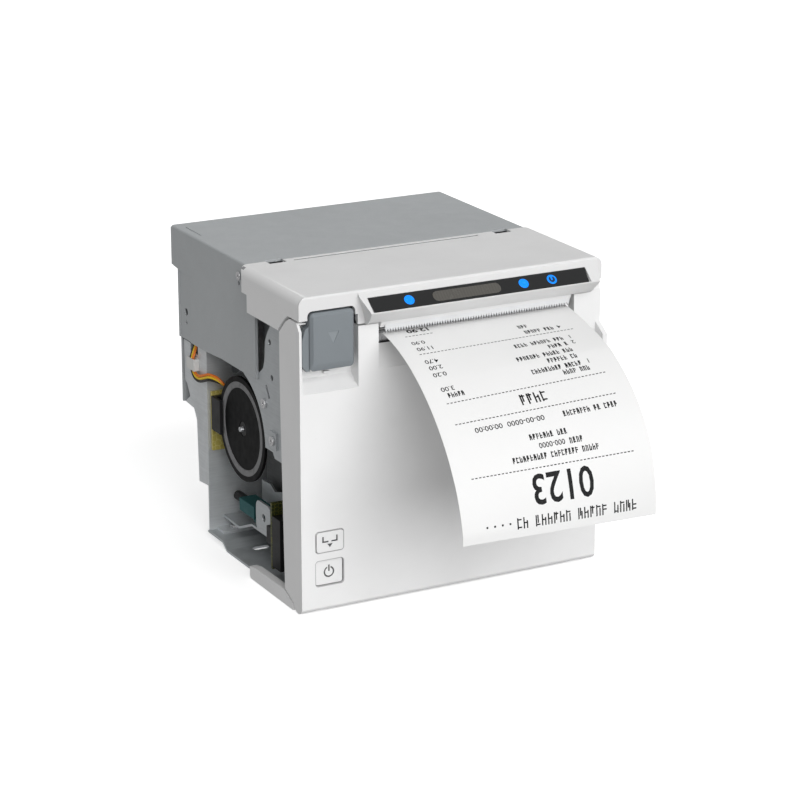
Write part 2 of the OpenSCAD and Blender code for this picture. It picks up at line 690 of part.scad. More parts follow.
module platen_shaft() {
    color("silver") from_front() {
        rod_x(roll_x0 - 1, paper_w + 2, platen[0], platen[1], 2.5);
        rod_x(gear_x - 0.4, 56 - gear_x, platen[0], platen[1], shaft_r);
    }
}

module platen_gear() {
    color(c_dark) from_front() gear(gear_x, gear_w, platen, platen_teeth, feed_mod, 0, shaft_r);
}

module platen_bushes() {
    color(c_black) from_front() for (x = [exit_x0 - 1.9, exit_x1]) difference() {
        union() {
            rod_x(x - 0.2, 2.3, platen[0], platen[1], 3);
            rod_x(x - 0.7, 0.5, platen[0], platen[1], 3.8);
        }
        rod_x(x - 2, 6, platen[0], platen[1], shaft_r + run_gap);
    }
}

// ---- front cover ----

// Side wall of the front cover: rounded nose at the top, circular foot round the hinge axis
module cover_side() {
    polygon([[0, 6], [0, 111], [2.4, 114], [8.2, 114.2], [11.4, 112.4], [16.9, 107], [16.9, 84],
             [14.6, 6.6], [12.6, 5.7], [7.6, 3.3], [3.5, 6]]);
    difference() {
        translate(pivot) circle(3.8);
        translate([-5, 0]) square([5, 10]);
    }
    translate([0, 4]) square([2, 4]);
}

module front_cover() {
    color(c_white) from_front() difference() {
        union() {
            difference() {
                yz(cover_x0, cover_x1 - cover_x0) union() {
                    cover_side();
                    translate([2, 1]) square([3, 3]);
                    difference() {
                        translate([2, 3]) circle(2);
                        translate([2, 3]) square([3, 3]);
                    }
                }
                // the space behind the face, open to the rear
                box([cover_x0 + wall, wall, -1], [cover_x1 - wall, 30, 130]);
                // everything above the paper shelf, the lever bay and the pillar tops
                box([-63.4, -1, 86.9], [-40.2, 5, 113.3]);
                box([-60.7, -1, 86.9], [-40.2, 30, 130]);
                box([-40.3, -1, 110.3], [exit_x0 + 1, 30, 130]);
                box([exit_x0, -1, shelf_z], [exit_x1, 30, 130]);
                box([exit_x1 - 1, -1, 110.3], [60, 30, 130]);
                box([59.9, -1, 113], [70, 30, 130]);
            }
            // sloping shelf under the paper
            yz(exit_x0 - 0.1, exit_x1 - exit_x0 + 0.2) polygon([
                [0, shelf_z - 2], [0, shelf_z], [1, shelf_z + 1.2], [4.9, 101], [5, 98.6],
                [wall, shelf_z - 2]]);
            // pillars on both sides of the exit
            for (x = [-40.2, exit_x0 - 1.9, exit_x1]) {
                box([x, 0, 86], [x + 1.9, 4.2, 110.3]);
                box([x, 4, 86], [x + 1.9, 16.9, 101]);
            }
            box([-40.2, 0, 94], [exit_x0, wall, 110.3]);
            // well behind and below the lever
            yz(-63.5, 24) polygon([[0, 86.9], [0, 85], [wall, 84], [7.4, 88], [7.4, 113], [6.2, 113],
                                   [6.2, 91.2], [3, 88.6]]);
            // seat of the lever's spring
            box([-52.4, 4.1, 92.7], [-50, 6.3, 93.55]);
            // small forward ear on the right edge
            yz(cover_x1 - 2, 2) polygon([[0.1, 98.4], [-5.6, 94.4], [-5.6, 90.6], [0.1, 88.6]]);
            // bosses that hold the hinge pins
            for (x = [cover_x0 + 0.4, 58.9]) rod_x(x, 5.3, pivot[0], pivot[1], 2.4);
        }
        // thinner foot in front of the hinge ears, and the pins' sockets
        for (x = [-58.9, 53]) box([x, 1.2, -1], [x + 5.9, 9, 8]);
        for (x = [-62.4, 58]) rod_x(x, 4.5, pivot[0], pivot[1], pin_r);
        // openings for the buttons
        for (z = [feed_z, power_z])
            xz(-1, 4) round_rect([button_x - button_w / 2, z[0]], [button_x + button_w / 2, z[1]], 1.2);
        // clearance for the platen and its bushes
        rod_x(exit_x0 - 10, exit_x1 - exit_x0 + 14, platen[0], platen[1], 3.05);
        rod_x(-61.9, 19.9, platen[0], platen[1], 7.6);
    }
}

// Inner panel of the front cover, which guides the paper and stiffens the cover
module paper_guide() {
    color(c_dark) from_front() difference() {
        union() {
            box([-42, wall, 40], [57, wall + 1.6, 84]);
            yz(exit_x0 + 0.4, exit_x1 - exit_x0 - 0.8) polygon([
                [wall, 82], [wall + 1.6, 82], [16, 90], [18, 92.4], [18, 93.6], [9.4, 93.6], [7.6, 95.6],
                [7.6, 101], [6.6, 101], [6.6, 93], [wall, 88]]);
        }
        rod_x(-50, 120, platen[0], platen[1], platen_r + 0.6);
    }
}

module fixed_blade() {
    color("silver") from_front() {
        box([roll_x0 - 1, 6.6, 101], [roll_x1 + 1, 7.6, 104.3]);
    }
}

module hinge_pins() {
    color("silver") from_front() for (x = [-62.4, 53.6])
        rod_x(x, 8.8, pivot[0], pivot[1], pin_r);
}

module button_board() {
    color(c_board) from_front() {
        box([-60, 5.8, 9], [-44, 7.2, 36]);
    }
    color(c_black) from_front() for (z = [feed_z, power_z]) let (m = (z[0] + z[1]) / 2)
        box([button_x - 3, 4.6, m - 3], [button_x + 3, 5.8, m + 3]);
    color(c_white) from_front() for (x = [-59, -45.5]) rod_y(x, wall, 3.6, 34, 0.8);
}

// Push button: a cap in its opening and a collar behind the wall
module push_button(z, proud) {
    g = 0.25;
    from_front() difference() {
        union() {
            xz(-proud, proud + wall + 0.4) round_rect(
                [button_x - button_w / 2 + g, z[0] + g], [button_x + button_w / 2 - g, z[1] - g], 1);
            box([button_x - button_w / 2 - 0.6, wall + 0.15, z[0] - 0.6],
                [button_x + button_w / 2 + 0.6, wall + 0.75, z[1] + 0.6]);
            box([button_x - 1, wall, (z[0] + z[1]) / 2 - 1], [button_x + 1, 3.7, (z[0] + z[1]) / 2 + 1]);
        }
        children();
    }
}

module feed_button() {
    // sunk symbol: a sheet of paper leaving a slot
    color(c_white) push_button(feed_z, 0.4) {
        for (s = [-1, 1]) {
            box([button_x + s * 2.9 - 0.3, -1, 28.4], [button_x + s * 2.9 + 0.3, -0.2, 30.6]);
            box([button_x + s * 1.9 - 1.3, -1, 28.2], [button_x + s * 1.9 + 1.3, -0.2, 28.8]);
        }
        xz(-1, 0.8) polygon([[button_x - 1.1, 27.6], [button_x + 1.1, 27.6], [button_x, 26.1]]);
    }
}

module power_button() {
    // sunk symbol: open ring with an upright stroke
    color(c_white) push_button(power_z, -0.7) {
        rod_y_ring = [button_x, 16];
        xz(0, 0.9) difference() {
            translate(rod_y_ring) circle(2.2);
            translate(rod_y_ring) circle(1.6);
            translate([rod_y_ring[0] - 0.7, rod_y_ring[1]]) square([1.4, 3]);
        }
        box([button_x - 0.3, 0, 16.2], [button_x + 0.3, 0.9, 18.8]);
    }
}

// Pull-down lever: rounded face, left wing and a stem that runs in the cover
module open_lever() {
    color(c_lever) from_front() difference() {
        union() {
            hull() {
                xz(-0.2, 4.2) round_rect([-60.2, 95.6], [-42.2, 117.6], 1.6, $fn = 32);
                xz(-1.3, 1) round_rect([-59.2, 98.4], [-43.2, 116.6], 1, $fn = 32);
            }
            xz(0.4, 3.2) polygon([[-60, 95.6], [-60, 112.8], [-61.8, 111.6], [-63, 107.6], [-63, 97.8],
                                  [-61.4, 95.6]]);
            box([-54, 4, 103], [-48.4, 6, 107]);
        }
        // sunk arrow that points down
        xz(-2, 0.95) polygon([[-53.2, 110], [-48.8, 110], [-51, 105.6]]);
    }
}

module lever_spring() {
    color("silver") from_front() translate([-51.2, 5.08, 93.6]) coil_spring(0.85, 0.2, 6, 9.3);
}

// Shaft across the cover with two release arms, turned by the lever
release_axis = [11.2, 84];
module release_shaft() {
    color(c_dark) from_front() {
        rod_x(-61.8, 120.8, release_axis[0], release_axis[1], 1.5);
        for (x = [-56.6, 56.6]) yz(x, 1.8) difference() {
            hull() {
                translate(release_axis) circle(2.8, $fn = 32);
                translate([release_axis[0] + 2.6, release_axis[1] + 6.5]) circle(1.4, $fn = 32);
            }
            translate(release_axis) circle(1.4, $fn = 32);
        }
    }
}

// ---- roll and its sensor ----

module paper_roll() {
    color(c_paper) from_front() difference() {
        rod_x(roll_x0, paper_w, roll_axis[0], roll_axis[1], roll_r, $fn = 96);
        rod_x(roll_x0 - 1, paper_w + 2, roll_axis[0], roll_axis[1], core_r);
    }
}

module roll_core() {
    color(c_card) from_front() difference() {
        rod_x(roll_x0 - 0.2, paper_w + 0.4, roll_axis[0], roll_axis[1], core_r);
        rod_x(roll_x0 - 1, paper_w + 2, roll_axis[0], roll_axis[1], core_r - 2);
    }
}

// Left hub: stepped boss in the core, shaft out through the bay wall to the disc
module left_hub() {
    color(c_black) from_front() {
        rod_x(roll_x0 - 1.4, 7.4, roll_axis[0], roll_axis[1], core_r - 2);
        rod_x(roll_x0 - 1.4, 1.1, roll_axis[0], roll_axis[1], 12);
        rod_x(-57, 28, roll_axis[0], roll_axis[1], 3);
    }
    color("silver") from_front() rod_x(-58.6, 2, roll_axis[0], roll_axis[1], 1);
}

module encoder_disc() {
    color(c_black) from_front() difference() {
        union() {
            rod_x(-57.6, 1.2, roll_axis[0], roll_axis[1], 20.9, $fn = 96);
            rod_x(-56.4, 6, roll_axis[0], roll_axis[1], 6);
        }
        rod_x(-58, 10, roll_axis[0], roll_axis[1], 3);
        rod_x(-58.6, 1.4, roll_axis[0], roll_axis[1], 16.4, $fn = 96);
    }
}

// Sprung hub that draws back out of the core so that the roll can be changed
module right_hub() {
    color(c_black) from_front() {
        rod_x(roll_x1 - 5, 8.3, roll_axis[0], roll_axis[1], core_r - 2 - run_gap);
        rod_x(roll_x1 + 3, 6, roll_axis[0], roll_axis[1], 3);
    }
}

module hub_spring() {
    color("silver") from_front() translate([bay_x1 + 1.5, roll_axis[0], roll_axis[1]])
        rotate([0, 90, 0]) coil_spring(4.4, 0.35, 3, 5);
}

module sensor_board() {
    color(c_sensor_board) from_front() difference() {
        box([-59, back_y - 2.2, 38], [-45, back_y - 0.8, 62.5]);
        rod_y(-48, back_y - 5, 9, 41, 1.2);
    }
    color(c_white) from_front() for (z = [42, 58]) rod_y(-50, back_y - 0.8, 0.8, z, 2);
}

// Forked light barrier that the rim of the disc runs through
module slotted_sensor() {
    color(c_black) from_front() difference() {
        box([-59.4, 82.6, 47], [-54.4, back_y - 2.2, 61]);
        box([-58.1, 80, 46], [-55.9, 88.4, 63]);
    }
}

module wire_clip() {
    color(c_white) from_front() difference() {
        box([-62.4, 100.2, 68.8], [-60, 107.4, 73.6]);
        box([-62, 101.2, 68], [-60.5, 106.6, 75]);
    }
}

// Sensor lead, held by the clip along its whole route: three wires side by side
lead = [[-58.6, 104.8, 84], [-58.8, 104.8, 80], [-60, 104.8, 76.4], [-61.3, 104.4, 73],
        [-61.4, 103.8, 69.6], [-61.4, 101.6, 67], [-61.2, 98, 66.4], [-60.9, 94, 67.6],
        [-60.4, 90, 69], [-58.6, 86.8, 68.6], [-56, 86, 66.4], [-54, 87, 64.4], [-53, 89.4, 63.4]];
wire_r = 0.52;
wire_pitch = 1.1;
function beside(i) = let (t = tangent(lead, i)) unit([0.05, t[2], -t[1]]);
module wire(k) {
    from_front() tube([for (i = [0 : len(lead) - 1]) lead[i] + k * wire_pitch * beside(i)], wire_r);
}
module wire_orange() { color([0.9, 0.32, 0.05]) wire(1); }
module wire_yellow() { color([0.95, 0.75, 0.05]) wire(0); }
module wire_black() { color(c_black) wire(-1); }

module adjuster_bracket() {
    color(c_steel) from_front() difference() {
        union() {
            // bent floor, inner wall with its foot, and the small round-ended plate in front
            yz(-54, 14) polygon([[48, 13], [66, 13], [78, 8], [92.8, 8.4], [92.8, 9.4],
                                 [78.2, 9], [66.2, 14], [48, 14]]);
            yz(-41, sheet) polygon([[50, sheet], [60, sheet], [66, 9], [84, 9.6], [84, 25], [76, 25.4],
                                    [72, 23.4], [62, 26], [50, 26]]);
            yz(-54, sheet) round_rect([49, 13.2], [62, 26], 3);
        }
        box([-50, 57, 7], [-46, 76, 16]);
        rod_x(-56, 4, 55, 20, 1.6);
    }
}

// Slider that sets where the low-paper feeler reads, with its finger block
module near_end_adjuster() {
    color(c_teal) from_front() {
        box([-51.6, 69, 14.4], [-44.4, 82.6, 19.6]);
        box([-49.4, 70, 11.6], [-46.6, 74, 14.6]);
    }
    color(c_black) from_front() rod_y(-48, 82.2, 9.6, 17.2, 1.9);
}

module main_board() {
    color(c_board) from_front() difference() {
        box([-36.6, 24, 6], [-35, 88, 50]);
        for (y = [27, 85], z = [9, 47]) rod_x(-40, 8, y, z, 1.6);
    }
    color(c_board) from_front() box([-57, 41, 4], [-38, 42.4, 31]);
}

module board_connectors() {
    color(c_dark) from_front() {
        for (y = [30, 44, 62]) box([-41.6, y, 38], [-36.6, y + 9, 44]);
        box([-57, 34, 5], [-47, 41, 26]);
    }
    color(c_white) from_front() box([-56.4, 42.4, 13], [-50, 47.4, 20]);
}

module rear_sockets() {
    color(c_black) from_front() {
        difference() {
            box([-24.7, 98.4, 10.3], [-10.3, 112.6, 23.7]);
            rod_y(-17.5, 100, 20, 17, 5);
        }
        rod_y(-17.5, 99, 8, 17, 1);
    }
    color("silver") from_front() {
        difference() {
            box([-3.7, 97, 10.3], [7.7, 112.6, 22.7]);
            box([-2.2, 100, 12], [6.2, 120, 21]);
        }
        box([-0.4, 99, 14.4], [4.4, 108, 18.2]);
        for (s = [[14.3, 30.1, 24.7], [37.3, 51.3, 23.1]]) difference() {
            box([s[0], 98, 10.3], [s[1], 112.4, s[2]]);
            box([s[0] + 1.4, 101, 12], [s[1] - 1.4, 120, s[2] - 1.6]);
        }
    }
}

// ---- fasteners ----

module screw_head(r, h) {
    difference() {
        cylinder(h = h, r = r);
        for (a = [0, 90]) rotate(a) translate([-r * 0.6, -r * 0.12, h - 0.5]) cube([r * 1.2, r * 0.24, 1]);
    }
}

module frame_screws() {
    color("silver") from_front() {
        for (p = [[39.6, 72.4], [31, 60]]) translate([-frame_x - (p[0] < 35 ? 0.9 : 0), p[0], p[1]])
            rotate([0, -90, 0]) screw_head(1.9, 0.9);
        for (x = [-28.6, 55.6]) translate([x, 112, 42]) rotate([-90, 0, 0]) screw_head(2.6, 1.4);
        translate([foot_screw[0], foot_screw[1], step_z + 2 * sheet]) screw_head(2.4, 1.2);
        rod_z(foot_screw[0], foot_screw[1], 1.4, 3.2, 1.4);
    }
}

module cover_screws() {
    color("silver") from_front() for (x = [-1, 1])
        translate([x * cover_half_w, 58, 118.2]) rotate([0, x * 90, 0]) {
            screw_head(1.7, 0.7);
            translate([0, 0, -2]) cylinder(h = 2, r = 1);
        }
}

// ---- paper ----

// Strip from the roll up to the back of the nip, and from the nip on to the line of the cut
web_end = platen + (platen_r + 0.2) * [sin(nip_tilt), cos(nip_tilt)] + [2.6, -1.3];
nip_front = [12.2, 105.5];
cut_gap = 0.2;                       // the blade falls through the cut without touching the paper
sheet_slope = (nip_front[1] - exit_z + paper_t) / (nip_front[0] - 1.4);
function sheet_line(y) = exit_z - paper_t + sheet_slope * (y - 1.4);
module paper_web() {
    lift = web_end - roll_axis;
    reach = norm(lift);
    lean = atan2(lift[1], lift[0]) - acos((roll_r + 0.15) / reach);
    leave = roll_axis + (roll_r + 0.15) * [cos(lean), sin(lean)];
    out = paper_t * [cos(lean), sin(lean)];
    cut = [blade_y + blade_t + cut_gap, sheet_line(blade_y + blade_t + cut_gap)];
    color(c_paper) from_front() yz(roll_x0, paper_w) {
        polygon([leave, web_end, web_end + out, leave + out]);
        polygon([cut, nip_front, nip_front + [0, paper_t], cut + [0, paper_t]]);
    }
}

// Printed strip from the cut through the exit, falling in a quarter turn in front of the cover
module receipt() {
    fall = [1.4, exit_z - receipt_r];
    cut = [blade_y - cut_gap, sheet_line(blade_y - cut_gap)];
    color(c_paper) from_front() yz(roll_x0, paper_w) {
        polygon([[fall[0], exit_z - paper_t], cut, cut + [0, paper_t], [fall[0], exit_z]]);
        difference() {
            translate(fall) circle(receipt_r, $fn = 96);
            translate(fall) circle(receipt_r - paper_t, $fn = 96);
            translate(fall) translate([0, -200]) square([200, 400]);
            translate(fall) translate([-200, -201.5]) square([400, 200]);
        }
    }
}

base_plate();
left_frame();
left_back_panel();
right_frame();
roll_bay();
rear_panel();
rear_cover();
top_bezel();
status_panel();
status_window();
status_lights();
base_skirt();
tear_bar();
cutter_frame();
moving_blade();
cutter_gear();
cutter_motor();
cutter_pinion();
head_bracket();
thermal_head();
head_springs();
feed_motor();
motor_pinion();
idler_gear();
gear_bracket();
platen_roller();
platen_shaft();
platen_gear();
platen_bushes();
front_cover();
paper_guide();
fixed_blade();
hinge_pins();
button_board();
feed_button();
power_button();
open_lever();
lever_spring();
release_shaft();
paper_roll();
roll_core();
left_hub();
encoder_disc();
right_hub();
hub_spring();
sensor_board();
slotted_sensor();
wire_clip();
wire_orange();
wire_yellow();
wire_black();
adjuster_bracket();
near_end_adjuster();
main_board();
board_connectors();
rear_sockets();
frame_screws();
cover_screws();
paper_web();
receipt();
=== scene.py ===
import json
import math
import random

import bmesh
import bpy
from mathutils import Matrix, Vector


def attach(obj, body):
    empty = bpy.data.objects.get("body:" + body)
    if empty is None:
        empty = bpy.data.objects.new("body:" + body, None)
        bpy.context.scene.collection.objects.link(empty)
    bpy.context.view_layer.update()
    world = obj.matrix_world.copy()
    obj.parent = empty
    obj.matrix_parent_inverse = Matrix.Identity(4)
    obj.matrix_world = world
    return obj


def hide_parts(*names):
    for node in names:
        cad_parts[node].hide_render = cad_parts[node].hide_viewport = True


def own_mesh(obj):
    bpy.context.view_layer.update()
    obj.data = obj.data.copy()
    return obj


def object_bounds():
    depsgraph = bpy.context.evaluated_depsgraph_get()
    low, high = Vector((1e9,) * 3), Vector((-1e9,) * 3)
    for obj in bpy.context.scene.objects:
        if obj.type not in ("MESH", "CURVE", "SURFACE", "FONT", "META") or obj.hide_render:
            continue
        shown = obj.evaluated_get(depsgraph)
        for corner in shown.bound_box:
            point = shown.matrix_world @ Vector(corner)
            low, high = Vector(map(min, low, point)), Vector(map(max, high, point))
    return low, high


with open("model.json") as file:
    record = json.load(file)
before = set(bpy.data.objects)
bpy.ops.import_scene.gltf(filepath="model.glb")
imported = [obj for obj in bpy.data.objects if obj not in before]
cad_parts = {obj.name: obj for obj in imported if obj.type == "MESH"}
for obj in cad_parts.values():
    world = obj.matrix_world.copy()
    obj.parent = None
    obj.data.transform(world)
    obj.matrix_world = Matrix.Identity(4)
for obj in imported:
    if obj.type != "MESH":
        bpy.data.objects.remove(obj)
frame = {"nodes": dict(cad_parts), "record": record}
cad_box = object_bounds()

MM = 0.001
FRONT_Y = -0.047  # the front face's plane in the row frame

# Places and sizes in millimetres, measured as at() takes them
ROLL_AXIS = (66, 54)  # behind and up
KEY_X = -52.7
KEY_WIDTH = 11.6
KEY_HEIGHTS = ((24.3, 32.6), (11, 21))  # feed key, power key
KEY_CORNER = 1.2


def at(x, y, z):
    """Millimetres right, behind the front face and up, as a point in the row frame."""
    return Vector((x * MM, FRONT_Y + y * MM, z * MM))


# ---- camera and lights ----

AZIMUTH, ELEVATION = math.radians(-28.06), math.radians(17.67)
camera = bpy.data.objects.new("camera", bpy.data.cameras.new("camera"))
bpy.context.scene.collection.objects.link(camera)
camera.data.lens = 125.96
camera.data.sensor_width = 36
camera.data.clip_start = 0.05
back = Vector((math.sin(AZIMUTH) * math.cos(ELEVATION),
               -math.cos(AZIMUTH) * math.cos(ELEVATION),
               math.sin(ELEVATION)))
camera.location = at(-490.6, -877.4, 396)
camera.rotation_euler = (-back).to_track_quat("-Z", "Y").to_euler()
bpy.context.scene.camera = camera
bpy.context.scene.view_settings.view_transform = "Standard"

world = bpy.data.worlds.new("studio")
world.use_nodes = True
world.node_tree.nodes["Background"].inputs["Color"].default_value = (1, 1, 1, 1)
world.node_tree.nodes["Background"].inputs["Strength"].default_value = 0.4
bpy.context.scene.world = world


def sun(name, towards, strength, angle):
    """A soft lamp that shines from that direction; angle is its apparent width in degrees."""
    lamp = bpy.data.lights.new(name, "SUN")
    lamp.energy = strength
    lamp.angle = math.radians(angle)
    o = bpy.data.objects.new(name, lamp)
    bpy.context.scene.collection.objects.link(o)
    o.rotation_euler = Vector(towards).to_track_quat("Z", "Y").to_euler()


sun("key", (0.07, -0.92, 0.42), 2.38, 60)
sun("overhead", (-0.15, 0.1, 1.0), 0.2, 50)


# ---- materials ----

WHITE = (0.84, 0.84, 0.84)
BLACK = (0.014, 0.014, 0.015)
LEVER_GREY = (0.205, 0.228, 0.245)
TEAL = (0.012, 0.12, 0.125)
BOARD, COPPER = (0.035, 0.045, 0.012), (0.16, 0.15, 0.03)
INSET_GREY = (0.09, 0.09, 0.092)


class Finish:
    """A material whose colour, roughness and relief come from patterns fixed to the piece, in metres."""

    def __init__(self, name, colour, rough, metal=0.0, specular=0.5, coat=0.0):
        self.material = bpy.data.materials.new(name)
        self.material.use_nodes = True
        self.tree = self.material.node_tree
        self.shader = self.tree.nodes["Principled BSDF"]
        self.colour = tuple(colour)
        self.set("Base Color", (*colour, 1))
        self.set("Roughness", rough)
        self.set("Metallic", metal)
        self.set("Specular IOR Level", specular)
        self.set("Coat Weight", coat)
        self.set("Coat Roughness", 0.12)
        self.place = self.node("ShaderNodeTexCoord").outputs["Object"]
        self.base = None
        self.normal = None

    def set(self, socket, value):
        self.shader.inputs[socket].default_value = value

    def node(self, kind, **values):
        n = self.tree.nodes.new(kind)
        for k, v in values.items():
            setattr(n, k, v)
        return n

    def join(self, a, b):
        if isinstance(a, (int, float, tuple)):
            b.default_value = a
        else:
            self.tree.links.new(a, b)

    def stretched(self, scale):
        """The place on the piece, stretched by scale along each axis."""
        m = self.node("ShaderNodeMapping")
        m.inputs["Scale"].default_value = scale
        self.join(self.place, m.inputs["Vector"])
        return m.outputs["Vector"]

    def noise(self, per_metre, detail=2.0, rough=0.5, stretch=None):
        n = self.node("ShaderNodeTexNoise")
        n.inputs["Scale"].default_value = per_metre
        n.inputs["Detail"].default_value = detail
        n.inputs["Roughness"].default_value = rough
        self.join(self.stretched(stretch) if stretch else self.place, n.inputs["Vector"])
        return n.outputs["Fac"]

    def cells(self, per_metre, feature="F1", random_amount=1.0):
        n = self.node("ShaderNodeTexVoronoi", feature=feature)
        n.inputs["Scale"].default_value = per_metre
        n.inputs["Randomness"].default_value = random_amount
        self.join(self.place, n.inputs["Vector"])
        return n.outputs["Distance"]

    def math(self, what, a, b=0.0):
        n = self.node("ShaderNodeMath", operation=what)
        self.join(a, n.inputs[0])
        self.join(b, n.inputs[1])
        return n.outputs[0]

    def span(self, x, low, high, to_low=0.0, to_high=1.0):
        """x between low and high becomes to_low to to_high, and stays there outside."""
        n = self.node("ShaderNodeMapRange", clamp=True)
        self.join(x, n.inputs["Value"])
        for k, v in (("From Min", low), ("From Max", high), ("To Min", to_low), ("To Max", to_high)):
            n.inputs[k].default_value = v
        return n.outputs["Result"]

    def band(self, x, low, high, edge):
        """1 where x is between low and high, and 0 further than edge outside; all in millimetres."""
        return self.times(self.span(x, (low - edge) * MM, low * MM),
                          self.span(x, high * MM, (high + edge) * MM, 1, 0))

    def times(self, a, b):
        return self.math("MULTIPLY", a, b)

    def off(self, axis, middle):
        """Distance from middle along one axis, in metres."""
        return self.math("ABSOLUTE", self.math("SUBTRACT", self.part(axis), middle))

    def behind(self):
        """Distance behind the front face, in metres."""
        return self.math("SUBTRACT", self.part("Y"), FRONT_Y)

    def part(self, axis):
        n = self.node("ShaderNodeSeparateXYZ")
        self.join(self.place, n.inputs[0])
        return n.outputs[axis]

    def length(self, a, b):
        return self.math("SQRT", self.math("ADD", self.times(a, a), self.times(b, b)))

    def from_roll_axis(self):
        """Distance from the roll's axis, in metres."""
        y, z = ROLL_AXIS
        return self.length(self.math("SUBTRACT", self.behind(), y * MM),
                           self.math("SUBTRACT", self.part("Z"), z * MM))

    def tint(self, amount, colour):
        """Mixes colour over what the base colour is so far, by a pattern from 0 to 1."""
        n = self.node("ShaderNodeMix", data_type="RGBA")
        self.join(amount, n.inputs[0])
        if self.base is None:
            n.inputs[6].default_value = (*self.colour, 1)
        else:
            self.join(self.base, n.inputs[6])
        n.inputs[7].default_value = (*colour, 1)
        self.base = n.outputs[2]
        self.join(self.base, self.shader.inputs["Base Color"])

    def vary(self, amount, low, high):
        """Roughness goes from low to high with a pattern."""
        self.join(self.span(amount, 0.3, 0.7, low, high), self.shader.inputs["Roughness"])

    def relief(self, height, depth, strength=1.0):
        """Bumps of the given depth in metres, over those there are already."""
        n = self.node("ShaderNodeBump")
        n.inputs["Distance"].default_value = depth
        n.inputs["Strength"].default_value = strength
        self.join(height, n.inputs["Height"])
        if self.normal is not None:
            self.join(self.normal, n.inputs["Normal"])
        self.normal = n.outputs["Normal"]
        self.join(self.normal, self.shader.inputs["Normal"])

    def shaded(self, factor):
        return tuple(c * factor for c in self.colour)


def moulding(name, colour, rough, grain=2600, depth=14e-6, specular=0.5, coat=0.0):
    """Injection-moulded plastic: fine spark-eroded grain, slow sink in the wall, slight haze."""
    f = Finish(name, colour, rough, specular=specular, coat=coat)
    f.tint(f.span(f.noise(38, 3), 0.35, 0.7, 0, 1), f.shaded(0.955))
    f.tint(f.span(f.noise(900, 4, 0.7), 0.62, 0.8, 0, 0.35), f.shaded(0.86))
    f.vary(f.noise(240, 4, 0.6), rough - 0.05, rough + 0.07)
    f.relief(f.noise(22, 1), 40e-6, 0.3)
    f.relief(f.noise(grain, 2, 0.6), depth)
    return f


def plastic(*values, **options):
    return moulding(*values, **options).material


def painted(name, colour, rough):
    """Powder paint on sheet: orange peel, fine metallic fleck, rubbed patches."""
    f = Finish(name, colour, rough, specular=0.45)
    f.tint(f.span(f.noise(24, 3), 0.3, 0.75), f.shaded(0.93))
    f.tint(f.span(f.noise(5200, 1), 0.6, 0.72, 0, 0.5), f.shaded(1.28))
    f.tint(f.span(f.noise(4300, 1), 0.6, 0.74, 0, 0.5), f.shaded(0.74))
    f.vary(f.noise(130, 4, 0.65), rough - 0.07, rough + 0.08)
    f.relief(f.noise(620, 2, 0.5), 26e-6, 0.7)
    f.relief(f.noise(3000, 2, 0.6), 9e-6)
    return f.material


def sheet_metal(name, colour, rough, grain=(90, 90, 2200), metal=0.85, spangle=0.2):
    """Zinc-plated sheet: rolling grain one way, faint spangle, dull marks from handling."""
    f = Finish(name, colour, rough, metal=metal, specular=0.5)
    f.tint(f.span(f.noise(1, 4, 0.7, stretch=grain), 0.35, 0.68, 0, 0.7), f.shaded(0.84))
    f.tint(f.span(f.cells(210), 0.25, 0.85, 0, spangle), f.shaded(1.2))
    f.tint(f.span(f.noise(60, 4, 0.6), 0.55, 0.8, 0, 0.6), f.shaded(0.78))
    f.vary(f.noise(1, 3, 0.6, stretch=tuple(g * 0.4 for g in grain)), rough - 0.08, rough + 0.1)
    f.relief(f.noise(1, 3, 0.6, stretch=grain), 8e-6)
    f.relief(f.noise(34, 2), 60e-6, 0.4)
    return f.material


def turned_metal(name, colour, rough):
    """Bright turned, ground or drawn steel."""
    grain = (6000, 500, 500)
    f = Finish(name, colour, rough, metal=1.0)
    f.tint(f.span(f.noise(420, 4, 0.6), 0.5, 0.8, 0, 0.6), f.shaded(0.66))
    f.vary(f.noise(1, 3, 0.6, stretch=grain), rough - 0.08, rough + 0.12)
    f.relief(f.noise(1, 2, 0.5, stretch=grain), 4e-6)
    return f.material


def wound_paper():
    """The roll: smooth outside, and hundreds of fine edges on its ends."""
    f = Finish("wound_paper", (0.86, 0.86, 0.85), 0.62, specular=0.3)
    r = f.from_roll_axis()
    turns = f.math("SINE", f.times(r, 2 * math.pi / 0.00042))
    wide = f.math("SINE", f.times(r, 2 * math.pi / 0.0031))
    f.tint(f.span(turns, 0.1, 1, 0, 0.45), (0.6, 0.6, 0.585))
    f.tint(f.span(wide, 0.5, 1, 0, 0.3), (0.66, 0.655, 0.63))
    f.tint(f.span(f.noise(300, 4), 0.45, 0.75, 0, 0.25), (0.74, 0.735, 0.71))
    f.relief(turns, 30e-6, 0.6)
    return f.material


def thermal_paper():
    f = Finish("thermal_paper", (0.83, 0.83, 0.827), 0.5, specular=0.3)
    f.tint(f.span(f.noise(1900, 4, 0.7), 0.5, 0.8, 0, 0.25), (0.77, 0.77, 0.762))
    f.tint(f.span(f.noise(40, 2), 0.4, 0.7, 0, 0.2), (0.79, 0.79, 0.783))
    f.vary(f.noise(700, 3), 0.44, 0.56)
    f.relief(f.noise(60, 2), 120e-6, 0.3)
    f.relief(f.noise(3600, 3, 0.7), 7e-6)
    return f.material


def thermal_print():
    """Dots burnt into the coating, a little uneven along the head."""
    f = Finish("thermal_print", (0.011, 0.011, 0.012), 0.6, specular=0.12)
    f.tint(f.span(f.noise(2600, 2), 0.52, 0.75, 0, 0.5), (0.06, 0.06, 0.063))
    f.tint(f.span(f.noise(1, 2, stretch=(2500, 30, 30)), 0.5, 0.7, 0, 0.3), (0.045, 0.045, 0.047))
    f.vary(f.noise(900, 2), 0.48, 0.62)
    return f.material


